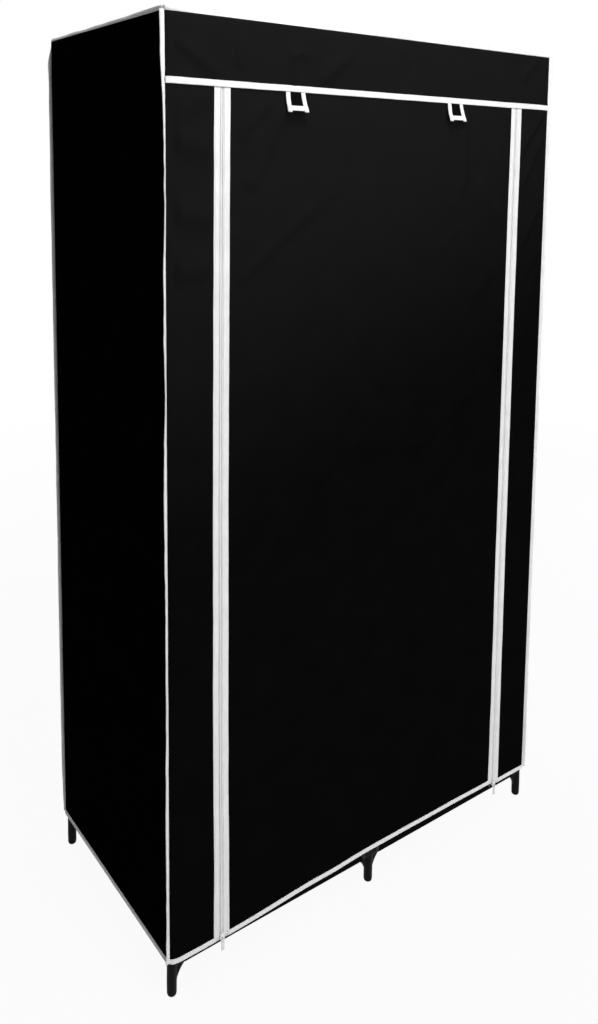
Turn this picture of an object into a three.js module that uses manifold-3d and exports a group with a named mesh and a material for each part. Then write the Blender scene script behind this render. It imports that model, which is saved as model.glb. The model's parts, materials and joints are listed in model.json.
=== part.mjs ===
// Portable fabric wardrobe: a frame of steel tubes and moulded corner pieces, sewn fabric
// shelves, and a bound fabric cover with a zipped door that rolls up under a valance.
// Millimetres, +X to the right as seen from the front, -Y to the front, +Z up.
// The origin is the bottom centre of the whole, at the level of the feet.

import * as THREE from 'three';
import { mergeVertices } from 'three/addons/utils/BufferGeometryUtils.js';
import Module from 'manifold-3d';

const wasm = await Module();
wasm.setup();

// Overall size of the cover and the height of the whole
const overallWidth = 880;
const coverDepth = 450;
const overallHeight = 1600;

// Fits
const clearance = 0.3;
const coverEase = 1;
const overrun = 5;

// Steel tubes
const tubeRadius = 8;
const tubeWall = 0.8;
const tubeSides = 12;
const swageDepth = 0.5;
const swageHeight = 2;

// Moulded corner pieces, with pegs that fill the ends of the tubes
const footClearance = 51;
const footTipRadius = 7.7;
const footTipFlat = 5;
const footTipRound = 3;
const hubReach = 13;
const capRound = 4;
const capRadius = 5.5;
const pegLength = 24;
const pegSides = 8;
const gussetReach = 10;
const gussetDrop = 17;
const gussetWidth = 6;
const gussetSteps = 5;

// Shelves in the right bay, and the rings that hold their rails on the posts
const shelfHeights = { lower: 560, upper: 1060 };
const ringWall = 1.4;
const ringHeight = 20;
const shelfEndGap = 3;

// Hanging rail in the left bay
const railDrop = 60;
const bracketWall = 2;
const bracketNeck = 12;
const bracketDepth = 18;
const bracketSocket = 24;
const clipHeight = 5;

// Cover cloth and its bindings
const clothThickness = 1;
const bindingProud = 1;
const hemHeight = 10.5;
const hemDrop = 5;
const valanceDrop = 108;
const valanceBinding = 10;
const seamRadius = 2.75;
const seamSides = 8;
const topSeamProud = 2.7;
const cornerSteps = 3;

// Zips at the two sides of the door, set in from the sides of the cover
const zipInset = 102;
const zipTapeWidth = 11.5;
const zipTapeThickness = 0.8;
const coilWidth = 2.5;
const coilThickness = 2.2;
const coilSlit = 1.1;
const clothToZip = 5.5;

// Zip sliders and pulls
const sliderWidth = 9;
const sliderHeight = 14;
const sliderCorner = 2.5;
const sliderPlate = 1.4;
const sliderBack = 1;
const bridgeWidth = 1.4;
const bridgeHeight = 3;
const bailWidth = 1.4;
const bailWall = 1;
const bailOpening = 3;
const bailLift = 2.4;
const bailPlace = 4;
const pullBar = 1.2;
const pullWidth = 5.4;
const pullLength = 21;
const pullWindow = 4.5;
const pullWindowWidth = 2.8;
const pullHoleRadius = 1;
const pullHoleSides = 10;
const pullHoleInset = 3;

// Ties that hold the rolled door, set in from the zips
const tieInsets = { left: 137, right: 173 };
const tieWidth = 42;
const tieLength = 34;
const tieCloth = 1;
const tieBinding = 8.5;
const tieThickness = 2.4;
const tieLegs = 2.5;
const tieTilt = THREE.MathUtils.degToRad(16.5);

// Folds of the front cloth
const foldEase = 30;
const stripFoldEase = 14;
const valanceFoldEase = 16;
const softLift = 3;
const firmLift = 4.5;
const sharpSpread = 16;
const creaseSpread = 30;
const broadSpread = 62;

// Places that follow from those sizes
const ringRadius = tubeRadius + clearance + ringWall;
const clothInner = ringRadius + coverEase;
const clothOuter = clothInner + clothThickness;
const frameInset = clothOuter + bindingProud;
const postX = overallWidth / 2 - frameInset;
const postY = coverDepth / 2 - frameInset;
const bottomRail = footClearance + tubeRadius;
const topCloth = overallHeight - topSeamProud;
const topRail = topCloth - clothThickness - clearance - tubeRadius;
const hemBottom = bottomRail + tubeRadius - hemDrop;
const hemTop = hemBottom + hemHeight;
const valanceLine = overallHeight - valanceDrop;
const valanceTop = valanceLine + valanceBinding;
const seamTop = overallHeight - 2 * seamRadius;
const wrapRadius = clothInner;
const quarterWrap = Math.PI / 2 * wrapRadius;
const frontSeam = postX + quarterWrap / 2;
const backSeam = frontSeam + quarterWrap + 2 * postY;
const seamOffset = clothInner + seamRadius + clearance;
const panelGap = seamRadius + clearance;
const zipCentre = overallWidth / 2 - zipInset;
const frontCloth = postY + clothOuter;
const tapeBack = frontCloth + clearance;
const coilMiddle = tapeBack + zipTapeThickness / 2;
const tiePivotY = frontCloth + bindingProud + clearance + tieThickness / 2;
const tieReach = tieLength * Math.sin(tieTilt) + tieThickness / 2 * Math.cos(tieTilt);
const frontReach = tiePivotY + tieReach;
const coverShift = (frontReach - coverDepth / 2) / 2;

// Materials
function finish(color, roughness, metalness) {
  return new THREE.MeshStandardMaterial({ color, roughness, metalness });
}

const blackTube = finish(0x141414, 0.4, 0.5);
const blackPlastic = finish(0x1a1a1a, 0.55, 0);
const blackCloth = finish(0x0c0c0d, 0.9, 0);
const whiteBinding = finish(0xf2f2f2, 0.85, 0);
const whiteTape = finish(0xeeeeee, 0.8, 0);
const whiteEnamel = finish(0xe6e6e4, 0.35, 0);

// The whole wardrobe, moved so that its origin is the centre of its box
const wardrobe = new THREE.Group();
wardrobe.position.y = coverShift;

function place(name, geometry, material) {
  const mesh = new THREE.Mesh(geometry, material);
  mesh.name = name;
  wardrobe.add(mesh);
  return mesh;
}

// Joining and cutting
function toSolid(geometry) {
  const bare = geometry.clone();
  bare.deleteAttribute('normal');
  bare.deleteAttribute('uv');
  const merged = mergeVertices(bare);
  return new wasm.Manifold(new wasm.Mesh({
    numProp: 3,
    vertProperties: new Float32Array(merged.attributes.position.array),
    triVerts: new Uint32Array(merged.index.array),
  }));
}

function toGeometry(solid) {
  const mesh = solid.getMesh();
  const geometry = new THREE.BufferGeometry();
  geometry.setAttribute('position', new THREE.BufferAttribute(mesh.vertProperties, 3));
  geometry.setIndex(new THREE.BufferAttribute(mesh.triVerts, 1));
  geometry.computeVertexNormals();
  return geometry;
}

function joined(geometries) {
  return geometries.map(toSolid).reduce((whole, piece) => whole.add(piece));
}

function cut(solid, geometries) {
  return geometries.map(toSolid).reduce((left, piece) => left.subtract(piece), solid);
}

// Basic shapes, placed by their lowest and highest corners or by their axis
function block([x0, x1], [y0, y1], [z0, z1]) {
  const geometry = new THREE.BoxGeometry(x1 - x0, y1 - y0, z1 - z0);
  return geometry.translate((x0 + x1) / 2, (y0 + y1) / 2, (z0 + z1) / 2);
}

// A turned piece: its profile goes round counter-clockwise, and it stands along +Z
function turned(profile, sides) {
  const points = profile.map(([radius, height]) => new THREE.Vector2(radius, height));
  return new THREE.LatheGeometry(points, sides).rotateX(Math.PI / 2);
}

function rod(radius, end, otherEnd, sides = tubeSides) {
  const from = Math.min(end, otherEnd);
  const to = Math.max(end, otherEnd);
  return turned([[0, from], [radius, from], [radius, to], [0, to]], sides);
}

function pipe(inner, outer, from, to, sides = tubeSides) {
  return turned([[inner, from], [outer, from], [outer, to], [inner, to], [inner, from]], sides);
}

// Turns a piece that stands along +Z to lie along +X or +Y
function alongX(geometry) {
  return geometry.rotateY(Math.PI / 2);
}

function alongY(geometry) {
  return geometry.rotateX(-Math.PI / 2);
}

// A flat outline drawn in X and Z, given a thickness centred on y = 0
function slab(outline, thickness) {
  const shape = outline instanceof THREE.Shape ? outline : new THREE.Shape(outline);
  const geometry = new THREE.ExtrudeGeometry(shape, { depth: thickness, bevelEnabled: false });
  return geometry.rotateX(Math.PI / 2).translate(0, thickness / 2, 0);
}

// Frame: tubes
const boreRadius = tubeRadius - tubeWall;
const pegRadius = boreRadius - clearance;
const tubeStart = hubReach + clearance;

function tube(length) {
  return pipe(boreRadius, tubeRadius, 0, length);
}

// A post is three tubes, swaged into each other at the two shelf heights
function post() {
  const from = bottomRail + tubeStart;
  const to = topRail - tubeStart;
  const profile = [[boreRadius, from], [tubeRadius, from]];
  for (const height of Object.values(shelfHeights)) {
    profile.push([tubeRadius, height - swageHeight / 2]);
    profile.push([tubeRadius - swageDepth, height]);
    profile.push([tubeRadius, height + swageHeight / 2]);
  }
  profile.push([tubeRadius, to], [boreRadius, to], [boreRadius, from]);
  return turned(profile, tubeSides);
}

// Frame: the curved web between a foot and the rail beside it
function gusset(side) {
  const top = -tubeRadius - clearance;
  const shape = new THREE.Shape();
  shape.moveTo(0, top);
  shape.lineTo(tubeRadius + gussetReach, top);
  for (let step = 1; step <= gussetSteps; step += 1) {
    const turn = step / gussetSteps * Math.PI / 2;
    const x = tubeRadius + gussetReach * (1 - Math.sin(turn));
    shape.lineTo(x, top - gussetDrop * (1 - Math.cos(turn)));
  }
  shape.lineTo(0, top - gussetDrop);
  const web = slab(shape, gussetWidth).translate(0, 0, bottomRail);
  return side < 0 ? web.rotateZ(Math.PI) : web;
}

// Frame: a corner piece, with a stub and a peg for each rail and one for the post
function stubs(height, xSides, ySides) {
  const pieces = [];
  for (const side of xSides) {
    pieces.push(alongX(rod(tubeRadius, 0, side * hubReach)).translate(0, 0, height));
    pieces.push(alongX(rod(pegRadius, 0, side * (hubReach + pegLength), pegSides)).translate(0, 0, height));
  }
  for (const side of ySides) {
    pieces.push(alongY(rod(tubeRadius, 0, side * hubReach)).translate(0, 0, height));
    pieces.push(alongY(rod(pegRadius, 0, side * (hubReach + pegLength), pegSides)).translate(0, 0, height));
  }
  return pieces;
}

function footConnector(xSides, ySides) {
  const stem = turned([
    [0, 0],
    [footTipFlat, 0],
    [footTipRadius, footTipRound],
    [tubeRadius, footClearance - gussetDrop],
    [tubeRadius, bottomRail + hubReach],
    [0, bottomRail + hubReach],
  ], tubeSides);
  const peg = rod(pegRadius, bottomRail, bottomRail + hubReach + pegLength, pegSides);
  const webs = xSides.map(gusset);
  return toGeometry(joined([stem, peg, ...webs, ...stubs(bottomRail, xSides, ySides)]));
}

function topConnector(xSides, ySides) {
  const capTop = topRail + tubeRadius;
  const stem = turned([
    [0, topRail - hubReach],
    [tubeRadius, topRail - hubReach],
    [tubeRadius, capTop - capRound],
    [capRadius, capTop],
    [0, capTop],
  ], tubeSides);
  const peg = rod(pegRadius, topRail - hubReach - pegLength, topRail, pegSides);
  return toGeometry(joined([stem, peg, ...stubs(topRail, xSides, ySides)]));
}

// The six columns of the frame, and which sides of each the rails leave from
const columns = [];
for (const [row, y, ySide] of [['front', -postY, 1], ['back', postY, -1]]) {
  columns.push({ name: `${row}_left`, x: -postX, y, xSides: [1], ySides: [ySide] });
  columns.push({ name: `${row}_centre`, x: 0, y, xSides: [-1, 1], ySides: [ySide] });
  columns.push({ name: `${row}_right`, x: postX, y, xSides: [-1], ySides: [ySide] });
}

for (const { name, x, y, xSides, ySides } of columns) {
  place(`foot_connector_${name}`, footConnector(xSides, ySides), blackPlastic).position.set(x, y, 0);
  place(`post_${name}`, post(), blackTube).position.set(x, y, 0);
  place(`top_connector_${name}`, topConnector(xSides, ySides), blackPlastic).position.set(x, y, 0);
}

// Frame: the rails round the bottom and the top, and across the middle
for (const [level, height] of [['bottom', bottomRail], ['top', topRail]]) {
  for (const [row, y] of [['front', -postY], ['back', postY]]) {
    for (const [side, start] of [['left', -postX], ['right', 0]]) {
      const rail = alongX(tube(postX - 2 * tubeStart));
      place(`${level}_rail_${row}_${side}`, rail, blackTube).position.set(start + tubeStart, y, height);
    }
  }
  for (const [where, x] of [['side_left', -postX], ['centre', 0], ['side_right', postX]]) {
    const rail = alongY(tube(2 * (postY - tubeStart)));
    place(`${level}_rail_${where}`, rail, blackTube).position.set(x, -postY + tubeStart, height);
  }
}

// Frame: a shelf rail, with a ring round the post at each end
function shelfRail() {
  const pieces = [alongX(rod(tubeRadius, 0, postX))];
  const holes = [alongX(rod(boreRadius, 0, postX))];
  for (const x of [0, postX]) {
    pieces.push(rod(ringRadius, -ringHeight / 2, ringHeight / 2).translate(x, 0, 0));
    holes.push(rod(tubeRadius + clearance, -ringHeight, ringHeight).translate(x, 0, 0));
  }
  return toGeometry(cut(joined(pieces), holes));
}

// Frame: the hanging rail, with a bracket at each end that clips up round the rail above
function hangingRail() {
  const reach = postX;
  const ringOuter = tubeRadius + clearance + bracketWall;
  const pieces = [alongX(rod(tubeRadius, tubeRadius, reach - tubeRadius)).translate(0, 0, -railDrop)];
  const holes = [alongX(rod(boreRadius, -reach, 2 * reach)).translate(0, 0, -railDrop)];
  for (const [x, side] of [[0, 1], [reach, -1]]) {
    const half = bracketDepth / 2;
    const inner = side * (bracketSocket - bracketNeck / 2);
    const outer = -side * bracketNeck / 2;
    const socketX = [x + Math.min(inner, outer), x + Math.max(inner, outer)];
    const socketZ = [-railDrop - tubeRadius - bracketWall, -railDrop + tubeRadius + bracketWall];
    const neckX = [x - bracketNeck / 2, x + bracketNeck / 2];
    const mouthX = [x - ringOuter, x + ringOuter];
    pieces.push(alongY(rod(ringOuter, -half, half)).translate(x, 0, 0));
    pieces.push(block(neckX, [-half, half], [-railDrop, 0]));
    pieces.push(block(socketX, [-half - clearance, half + clearance], socketZ));
    holes.push(alongY(rod(tubeRadius + clearance, -bracketDepth, bracketDepth)).translate(x, 0, 0));
    holes.push(block(mouthX, [-bracketDepth, bracketDepth], [clipHeight, ringOuter]));
  }
  return toGeometry(cut(joined(pieces), holes));
}

// Fabric shelves: a sheet over two rails, with a sewn sleeve round each rail
const sleeveInner = tubeRadius + clearance;
const sleeveOuter = sleeveInner + clothThickness;

function sleevedSheet(spans, middle) {
  const pieces = [];
  const holes = [];
  for (const [from, to] of spans) {
    pieces.push(block([from, to], [-postY, postY], [sleeveInner, sleeveOuter]));
    for (const y of [-postY, postY]) {
      pieces.push(alongX(rod(sleeveOuter, from, to)).translate(0, y, 0));
      holes.push(alongX(rod(sleeveInner, from - overrun, to + overrun)).translate(0, y, 0));
    }
  }
  pieces.push(...middle);
  return toGeometry(cut(joined(pieces), holes));
}

for (const [level, height] of Object.entries(shelfHeights)) {
  for (const [row, y] of [['front', -postY], ['back', postY]]) {
    place(`shelf_rail_${level}_${row}`, shelfRail(), blackTube).position.set(0, y, height);
  }
  const shelfSpan = [ringRadius + shelfEndGap, postX - ringRadius - shelfEndGap];
  place(`shelf_${level}`, sleevedSheet([shelfSpan], []), blackCloth).position.z = height;
}

place('hanging_rail', hangingRail(), blackTube).position.set(-postX, 0, topRail);

const pastGusset = tubeRadius + gussetReach + clearance;
const floorEnd = postX - pastGusset;
const floorSpans = [[-floorEnd, -pastGusset], [pastGusset, floorEnd]];
const floorEdge = postY - tubeRadius - clearance;
const floorMiddle = block([-postX, postX], [-floorEdge, floorEdge], [sleeveInner, sleeveOuter]);
place('floor_shelf', sleevedSheet(floorSpans, [floorMiddle]), blackCloth).position.z = bottomRail;

// Cover: a place on the wall of cloth that goes round the frame. The distance along is
// measured from the middle of the front, to the right, and out is from the post axes.
function aroundFrame(along, out) {
  const side = Math.sign(along) || 1;
  const distance = Math.abs(along);
  if (distance <= postX) {
    return [along, -postY - out];
  }
  const turn = Math.min((distance - postX) / wrapRadius, Math.PI / 2);
  if (distance <= postX + quarterWrap) {
    return [side * (postX + out * Math.sin(turn)), -postY - out * Math.cos(turn)];
  }
  const beside = distance - postX - quarterWrap;
  if (beside <= 2 * postY) {
    return [side * (postX + out), -postY + beside];
  }
  const backTurn = Math.min((beside - 2 * postY) / wrapRadius, Math.PI / 2);
  return [side * (postX + out * Math.cos(backTurn)), postY + out * Math.sin(backTurn)];
}

// Grid lines in bands, each evenly divided
function banded(bands) {
  const lines = [bands[0][0]];
  for (const [from, to, count] of bands) {
    for (let step = 1; step <= count; step += 1) {
      lines.push(from + (to - from) * step / count);
    }
  }
  return lines;
}

function mirrored(lines) {
  return lines.map((along) => -along).reverse();
}

// A panel of cloth on that wall: a thin box whose grid lines are set, then folded
function coverPanel(across, up, lift) {
  const geometry = new THREE.BoxGeometry(1, 1, 1, across.length - 1, 1, up.length - 1);
  const position = geometry.attributes.position;
  for (let i = 0; i < position.count; i += 1) {
    const column = Math.round((position.getX(i) + 1 / 2) * (across.length - 1));
    const row = Math.round((position.getZ(i) + 1 / 2) * (up.length - 1));
    const out = position.getY(i) < 0 ? clothOuter : clothInner;
    const raised = lift ? lift(across[column], up[row]) : 0;
    const [x, y] = aroundFrame(across[column], out + raised);
    position.setXYZ(i, x, y, up[row]);
  }
  return geometry;
}

// Folds: each runs between two places, given in shares of its panel's width and height
function foldLift(folds, [left, right], [bottom, top], ease) {
  const width = right - left;
  const height = top - bottom;
  return (along, z) => {
    const x = along - left;
    const y = z - bottom;
    const edge = Math.min(x, width - x, y, height - y);
    const held = THREE.MathUtils.smoothstep(edge, 0, ease);
    let raised = 0;
    for (const { fromShare, toShare, lift, spread } of folds) {
      const start = new THREE.Vector2(fromShare[0] * width, fromShare[1] * height);
      const run = new THREE.Vector2(toShare[0] * width, toShare[1] * height).sub(start);
      const here = new THREE.Vector2(x, y).sub(start);
      const share = THREE.MathUtils.clamp(here.dot(run) / run.lengthSq(), 0, 1);
      const away = here.sub(run.multiplyScalar(share)).length() / spread;
      raised = Math.max(raised, lift * Math.exp(-away * away));
    }
    return raised * held;
  };
}

const doorFolds = [
  { fromShare: [0.02, 0.78], toShare: [0.33, 0.9], lift: firmLift, spread: creaseSpread },
  { fromShare: [0.08, 0.88], toShare: [0.2, 0.97], lift: softLift, spread: creaseSpread },
  { fromShare: [0.76, 0.97], toShare: [0.78, 0.87], lift: softLift, spread: creaseSpread },
  { fromShare: [0.87, 0.9], toShare: [0.92, 0.8], lift: softLift, spread: creaseSpread },
  { fromShare: [0.12, 0.53], toShare: [0.4, 0.57], lift: softLift, spread: broadSpread },
  { fromShare: [0.4, 0.57], toShare: [0.64, 0.56], lift: firmLift, spread: broadSpread },
  { fromShare: [0.64, 0.56], toShare: [0.95, 0.64], lift: softLift, spread: broadSpread },
];

const leftStripFolds = [
  { fromShare: [0.05, 0.95], toShare: [0.95, 0.94], lift: softLift, spread: creaseSpread },
  { fromShare: [0.05, 0.88], toShare: [0.95, 0.88], lift: firmLift, spread: creaseSpread },
  { fromShare: [0.05, 0.81], toShare: [0.95, 0.81], lift: firmLift, spread: creaseSpread },
];

const rightStripFolds = [
  { fromShare: [0.1, 0.95], toShare: [0.9, 0.99], lift: softLift, spread: sharpSpread },
  { fromShare: [0.1, 0.9], toShare: [0.9, 0.96], lift: firmLift, spread: sharpSpread },
  { fromShare: [0.1, 0.83], toShare: [0.9, 0.9], lift: firmLift, spread: sharpSpread },
  { fromShare: [0.1, 0.77], toShare: [0.9, 0.81], lift: softLift, spread: sharpSpread },
];

const valanceFolds = [
  { fromShare: [0.03, 0.6], toShare: [0.1, 0.2], lift: softLift, spread: sharpSpread },
  { fromShare: [0.16, 0.9], toShare: [0.16, 0.3], lift: softLift, spread: sharpSpread },
  { fromShare: [0.28, 0.6], toShare: [0.27, 0.1], lift: firmLift, spread: sharpSpread },
  { fromShare: [0.34, 0.15], toShare: [0.42, 0.65], lift: firmLift, spread: sharpSpread },
  { fromShare: [0.54, 0.85], toShare: [0.56, 0.5], lift: softLift, spread: sharpSpread },
  { fromShare: [0.72, 0.2], toShare: [0.78, 0.8], lift: softLift, spread: sharpSpread },
  { fromShare: [0.88, 0.2], toShare: [0.92, 0.85], lift: softLift, spread: sharpSpread },
];

// Cover: door, strips beside it, valance over it, sides and back
const panelUp = [hemTop + clearance, valanceLine - clearance];
const wallUp = [hemTop + clearance, seamTop - clearance];
const valanceUp = [valanceTop + clearance, seamTop - clearance];
const tapeReach = coilSlit + coilWidth + zipTapeWidth + clearance;
const doorEdge = zipCentre - clothToZip;
const doorFree = zipCentre - tapeReach;
const stripEdge = zipCentre + clothToZip;
const stripFree = zipCentre + tapeReach;
const frontEnd = frontSeam - panelGap;

function between([from, to], share) {
  return from + (to - from) * share;
}

// The grids: how much of each panel's height lies plain, and its divisions
const plainShare = 0.48;
const foldedShare = 0.74;
const plainRows = 4;
const doorRows = 24;
const doorColumns = 16;
const stripRows = 18;
const stripColumns = 5;
const valanceRows = 5;
const valanceColumns = 44;

const doorUp = banded([
  [panelUp[0], between(panelUp, plainShare), plainRows],
  [between(panelUp, plainShare), panelUp[1], doorRows],
]);
const doorAcross = banded([
  [-doorEdge, -doorFree, 1],
  [-doorFree, doorFree, doorColumns],
  [doorFree, doorEdge, 1],
]);
const doorLift = foldLift(doorFolds, [-doorFree, doorFree], panelUp, foldEase);
place('door_panel', coverPanel(doorAcross, doorUp, doorLift), blackCloth);

const stripUp = banded([
  [panelUp[0], between(panelUp, foldedShare), plainRows],
  [between(panelUp, foldedShare), panelUp[1], stripRows],
]);
const rightStrip = banded([
  [stripEdge, stripFree, 1],
  [stripFree, postX, stripColumns],
  [postX, frontEnd, cornerSteps - 1],
]);
const leftStrip = mirrored(rightStrip);

const rightLift = foldLift(rightStripFolds, [stripFree, postX], panelUp, stripFoldEase);
const leftLift = foldLift(leftStripFolds, [-postX, -stripFree], panelUp, stripFoldEase);
place('front_strip_right', coverPanel(rightStrip, stripUp, rightLift), blackCloth);
place('front_strip_left', coverPanel(leftStrip, stripUp, leftLift), blackCloth);

const valanceAcross = banded([
  [-frontEnd, -postX, cornerSteps - 1],
  [-postX, postX, valanceColumns],
  [postX, frontEnd, cornerSteps - 1],
]);
const valanceLift = foldLift(valanceFolds, [-postX, postX], valanceUp, valanceFoldEase);
const valanceLines = banded([[...valanceUp, valanceRows]]);
place('valance_panel', coverPanel(valanceAcross, valanceLines, valanceLift), blackCloth);

const sideStart = frontSeam + panelGap;
const sideEnd = backSeam - panelGap;
const sideAcross = banded([
  [sideStart, postX + quarterWrap, cornerSteps - 1],
  [postX + quarterWrap, postX + quarterWrap + 2 * postY, 1],
  [postX + quarterWrap + 2 * postY, sideEnd, cornerSteps - 1],
]);
place('side_panel_right', coverPanel(sideAcross, wallUp), blackCloth);
place('side_panel_left', coverPanel(mirrored(sideAcross), wallUp), blackCloth);

const backAcross = banded([
  [-frontEnd, -postX, cornerSteps - 1],
  [-postX, postX, 1],
  [postX, frontEnd, cornerSteps - 1],
]);
place('back_panel', coverPanel(backAcross, wallUp).rotateZ(Math.PI), blackCloth);

// Cover: the top, inside the seam round its edge
const topInset = 2 * seamRadius + clearance;
const topX = overallWidth / 2 - topInset;
const topY = coverDepth / 2 - topInset;
const topSheet = block([-topX, topX], [-topY, topY], [topCloth - clothThickness, topCloth]);
place('top_panel', topSheet, blackCloth);

// Cover: white bindings. A band goes round the cloth wall, proud of it on the outside.
function band(across, from, to) {
  const geometry = new THREE.BoxGeometry(1, 1, 1, across.length - 1, 1, 1);
  const position = geometry.attributes.position;
  for (let i = 0; i < position.count; i += 1) {
    const column = Math.round((position.getX(i) + 1 / 2) * (across.length - 1));
    const out = position.getY(i) < 0 ? frameInset : clothInner;
    const [x, y] = aroundFrame(across[column], out);
    position.setXYZ(i, x, y, position.getZ(i) < 0 ? from : to);
  }
  return geometry;
}

function seam(length) {
  return rod(seamRadius, 0, length, seamSides);
}

function bindings() {
  const pieces = [];
  const cornerX = postX + seamOffset * Math.SQRT1_2;
  const cornerY = postY + seamOffset * Math.SQRT1_2;
  const edgeX = overallWidth / 2 - seamRadius;
  const edgeY = coverDepth / 2 - seamRadius;
  const ring = overallHeight - seamRadius;
  for (const sideX of [-1, 1]) {
    for (const sideY of [-1, 1]) {
      const upright = seam(ring - hemBottom);
      pieces.push(upright.translate(sideX * cornerX, sideY * cornerY, hemBottom));
    }
    pieces.push(alongY(seam(2 * edgeY)).translate(sideX * edgeX, -edgeY, ring));
  }
  for (const sideY of [-1, 1]) {
    pieces.push(alongX(seam(2 * edgeX)).translate(-edgeX, sideY * edgeY, ring));
  }
  const turnFront = [postX, postX + quarterWrap, cornerSteps];
  const straightSide = [postX + quarterWrap, postX + quarterWrap + 2 * postY, 1];
  const turnBack = [straightSide[1], straightSide[1] + quarterWrap, cornerSteps];
  const wallEnd = [turnBack[1], turnBack[1] + overrun, 1];
  const right = banded([[stripFree, postX, 1], turnFront, straightSide, turnBack, wallEnd]);
  pieces.push(band(right, hemBottom, hemTop), band(mirrored(right), hemBottom, hemTop));
  const hemBackY = [postY + clothInner, postY + frameInset];
  pieces.push(block([-postX - overrun, postX + overrun], hemBackY, [hemBottom, hemTop]));
  const frontLine = banded([
    [-frontSeam, -postX, cornerSteps],
    [-postX, postX, 1],
    [postX, frontSeam, cornerSteps],
  ]);
  pieces.push(band(frontLine, valanceLine, valanceTop));
  return toGeometry(joined(pieces));
}

place('seam_bindings', bindings(), whiteBinding);

place('door_hem', band([-doorFree, doorFree], hemBottom, hemTop), whiteBinding);

// Zips: a tape on the cloth's outside, with one half of the coil on its inner edge
function zipTape(toCloth) {
  const from = coilSlit;
  const toTape = from + coilWidth;
  const toEdge = toTape + zipTapeWidth;
  const length = valanceLine - clearance - hemBottom;
  const coilHalf = coilThickness / 2;
  const tapeHalf = zipTapeThickness / 2;
  const outline = [
    [from, -coilHalf],
    [toTape, -coilHalf],
    [toTape, -tapeHalf],
    [toEdge, -tapeHalf],
    [toEdge, tapeHalf],
    [toTape, tapeHalf],
    [toTape, coilHalf],
    [from, coilHalf],
  ].map(([x, y]) => new THREE.Vector2(x, y));
  const shape = new THREE.Shape(outline);
  const geometry = new THREE.ExtrudeGeometry(shape, { depth: length, bevelEnabled: false });
  return toCloth < 0 ? geometry.rotateZ(Math.PI) : geometry;
}

// Zips: a slider, whose two plates go in front of the coil and behind it. Its origin is
// the middle of the coil, at the slider's lower end.
const sliderFront = coilThickness / 2 + clearance + sliderPlate;
const pullPivotY = -sliderFront - bailLift / 2;

function zipSlider() {
  const half = sliderWidth / 2;
  const corner = sliderCorner;
  const outline = [
    [-half + corner, 0],
    [half - corner, 0],
    [half, corner],
    [half, sliderHeight - corner],
    [half - corner, sliderHeight],
    [-half + corner, sliderHeight],
    [-half, sliderHeight - corner],
    [-half, corner],
  ].map(([x, z]) => new THREE.Vector2(x, z));
  const coilFace = coilThickness / 2 + clearance;
  const front = slab(outline, sliderPlate).translate(0, -coilFace - sliderPlate / 2, 0);
  const back = slab(outline, sliderBack).translate(0, coilFace + sliderBack / 2, 0);
  const bridgeX = [-bridgeWidth / 2, bridgeWidth / 2];
  const bridgeY = [-coilFace - sliderPlate / 2, coilFace + sliderBack / 2];
  const bridge = block(bridgeX, bridgeY, [0, bridgeHeight]);
  const bailX = [-bailWidth / 2, bailWidth / 2];
  const bailOut = sliderFront + bailLift + bailWall;
  const bailHalf = bailOpening / 2 + bailWall;
  const bail = block(bailX, [-bailOut, -coilFace], [bailPlace - bailHalf, bailPlace + bailHalf]);
  const opening = block(
    [-bailWidth, bailWidth],
    [-sliderFront - bailLift, -sliderFront],
    [bailPlace - bailOpening / 2, bailPlace + bailOpening / 2],
  );
  return toGeometry(cut(joined([front, back, bridge, bail]), [opening]));
}

// Zips: a pull, which hangs from the slider's bail by the bar over its window
function zipPull() {
  const halfBar = pullBar / 2;
  const half = pullWidth / 2;
  const plate = block([-half, half], [-halfBar, halfBar], [-pullLength, halfBar]);
  const windowHalf = pullWindowWidth / 2;
  const windowZ = [-halfBar - pullWindow, -halfBar];
  const window = block([-windowHalf, windowHalf], [-overrun, overrun], windowZ);
  const hole = alongY(rod(pullHoleRadius, -overrun, overrun, pullHoleSides));
  hole.translate(0, 0, -pullLength + pullHoleInset);
  return toGeometry(cut(toSolid(plate), [window, hole]));
}

for (const [side, x] of [['left', -zipCentre], ['right', zipCentre]]) {
  const toDoor = -Math.sign(x);
  const y = -coilMiddle;
  place(`zip_tape_fixed_${side}`, zipTape(-toDoor), whiteTape).position.set(x, y, hemBottom);
  place(`zip_tape_door_${side}`, zipTape(toDoor), whiteTape).position.set(x, y, hemBottom);
  place(`zip_slider_${side}`, zipSlider(), whiteEnamel).position.set(x, y, hemBottom);
  const pull = place(`zip_pull_${side}`, zipPull(), whiteEnamel);
  pull.position.set(x, y + pullPivotY, hemBottom + bailPlace);
}

// Ties: a tab sewn in under the valance, bound on three sides, standing off the door
function tieTab() {
  const half = tieWidth / 2;
  const halfCloth = tieCloth / 2;
  const halfBinding = tieThickness / 2;
  const barTop = -tieLength + tieLegs + tieBinding;
  const pieces = [
    block([-half, half], [-halfCloth, halfCloth], [-tieLength + tieLegs, 0]),
    block([-half, half], [-halfBinding, halfBinding], [-tieLength + tieLegs, barTop]),
  ];
  for (const side of [-1, 1]) {
    const outer = side * half;
    const inner = side * (half - tieBinding);
    const legX = [Math.min(outer, inner), Math.max(outer, inner)];
    pieces.push(block(legX, [-halfBinding, halfBinding], [-tieLength, 0]));
  }
  return toGeometry(joined(pieces));
}

for (const [side, toSide] of [['left', -1], ['right', 1]]) {
  const tie = place(`tie_tab_${side}`, tieTab(), blackCloth);
  const x = toSide * (zipCentre - tieInsets[side]);
  tie.position.set(x, -tiePivotY, valanceLine - clearance);
  tie.rotation.x = -tieTilt;
}

export default wardrobe;
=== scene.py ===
import json
import math

import bmesh
import bpy
import numpy as np
from mathutils import Matrix, Vector, noise


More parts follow.
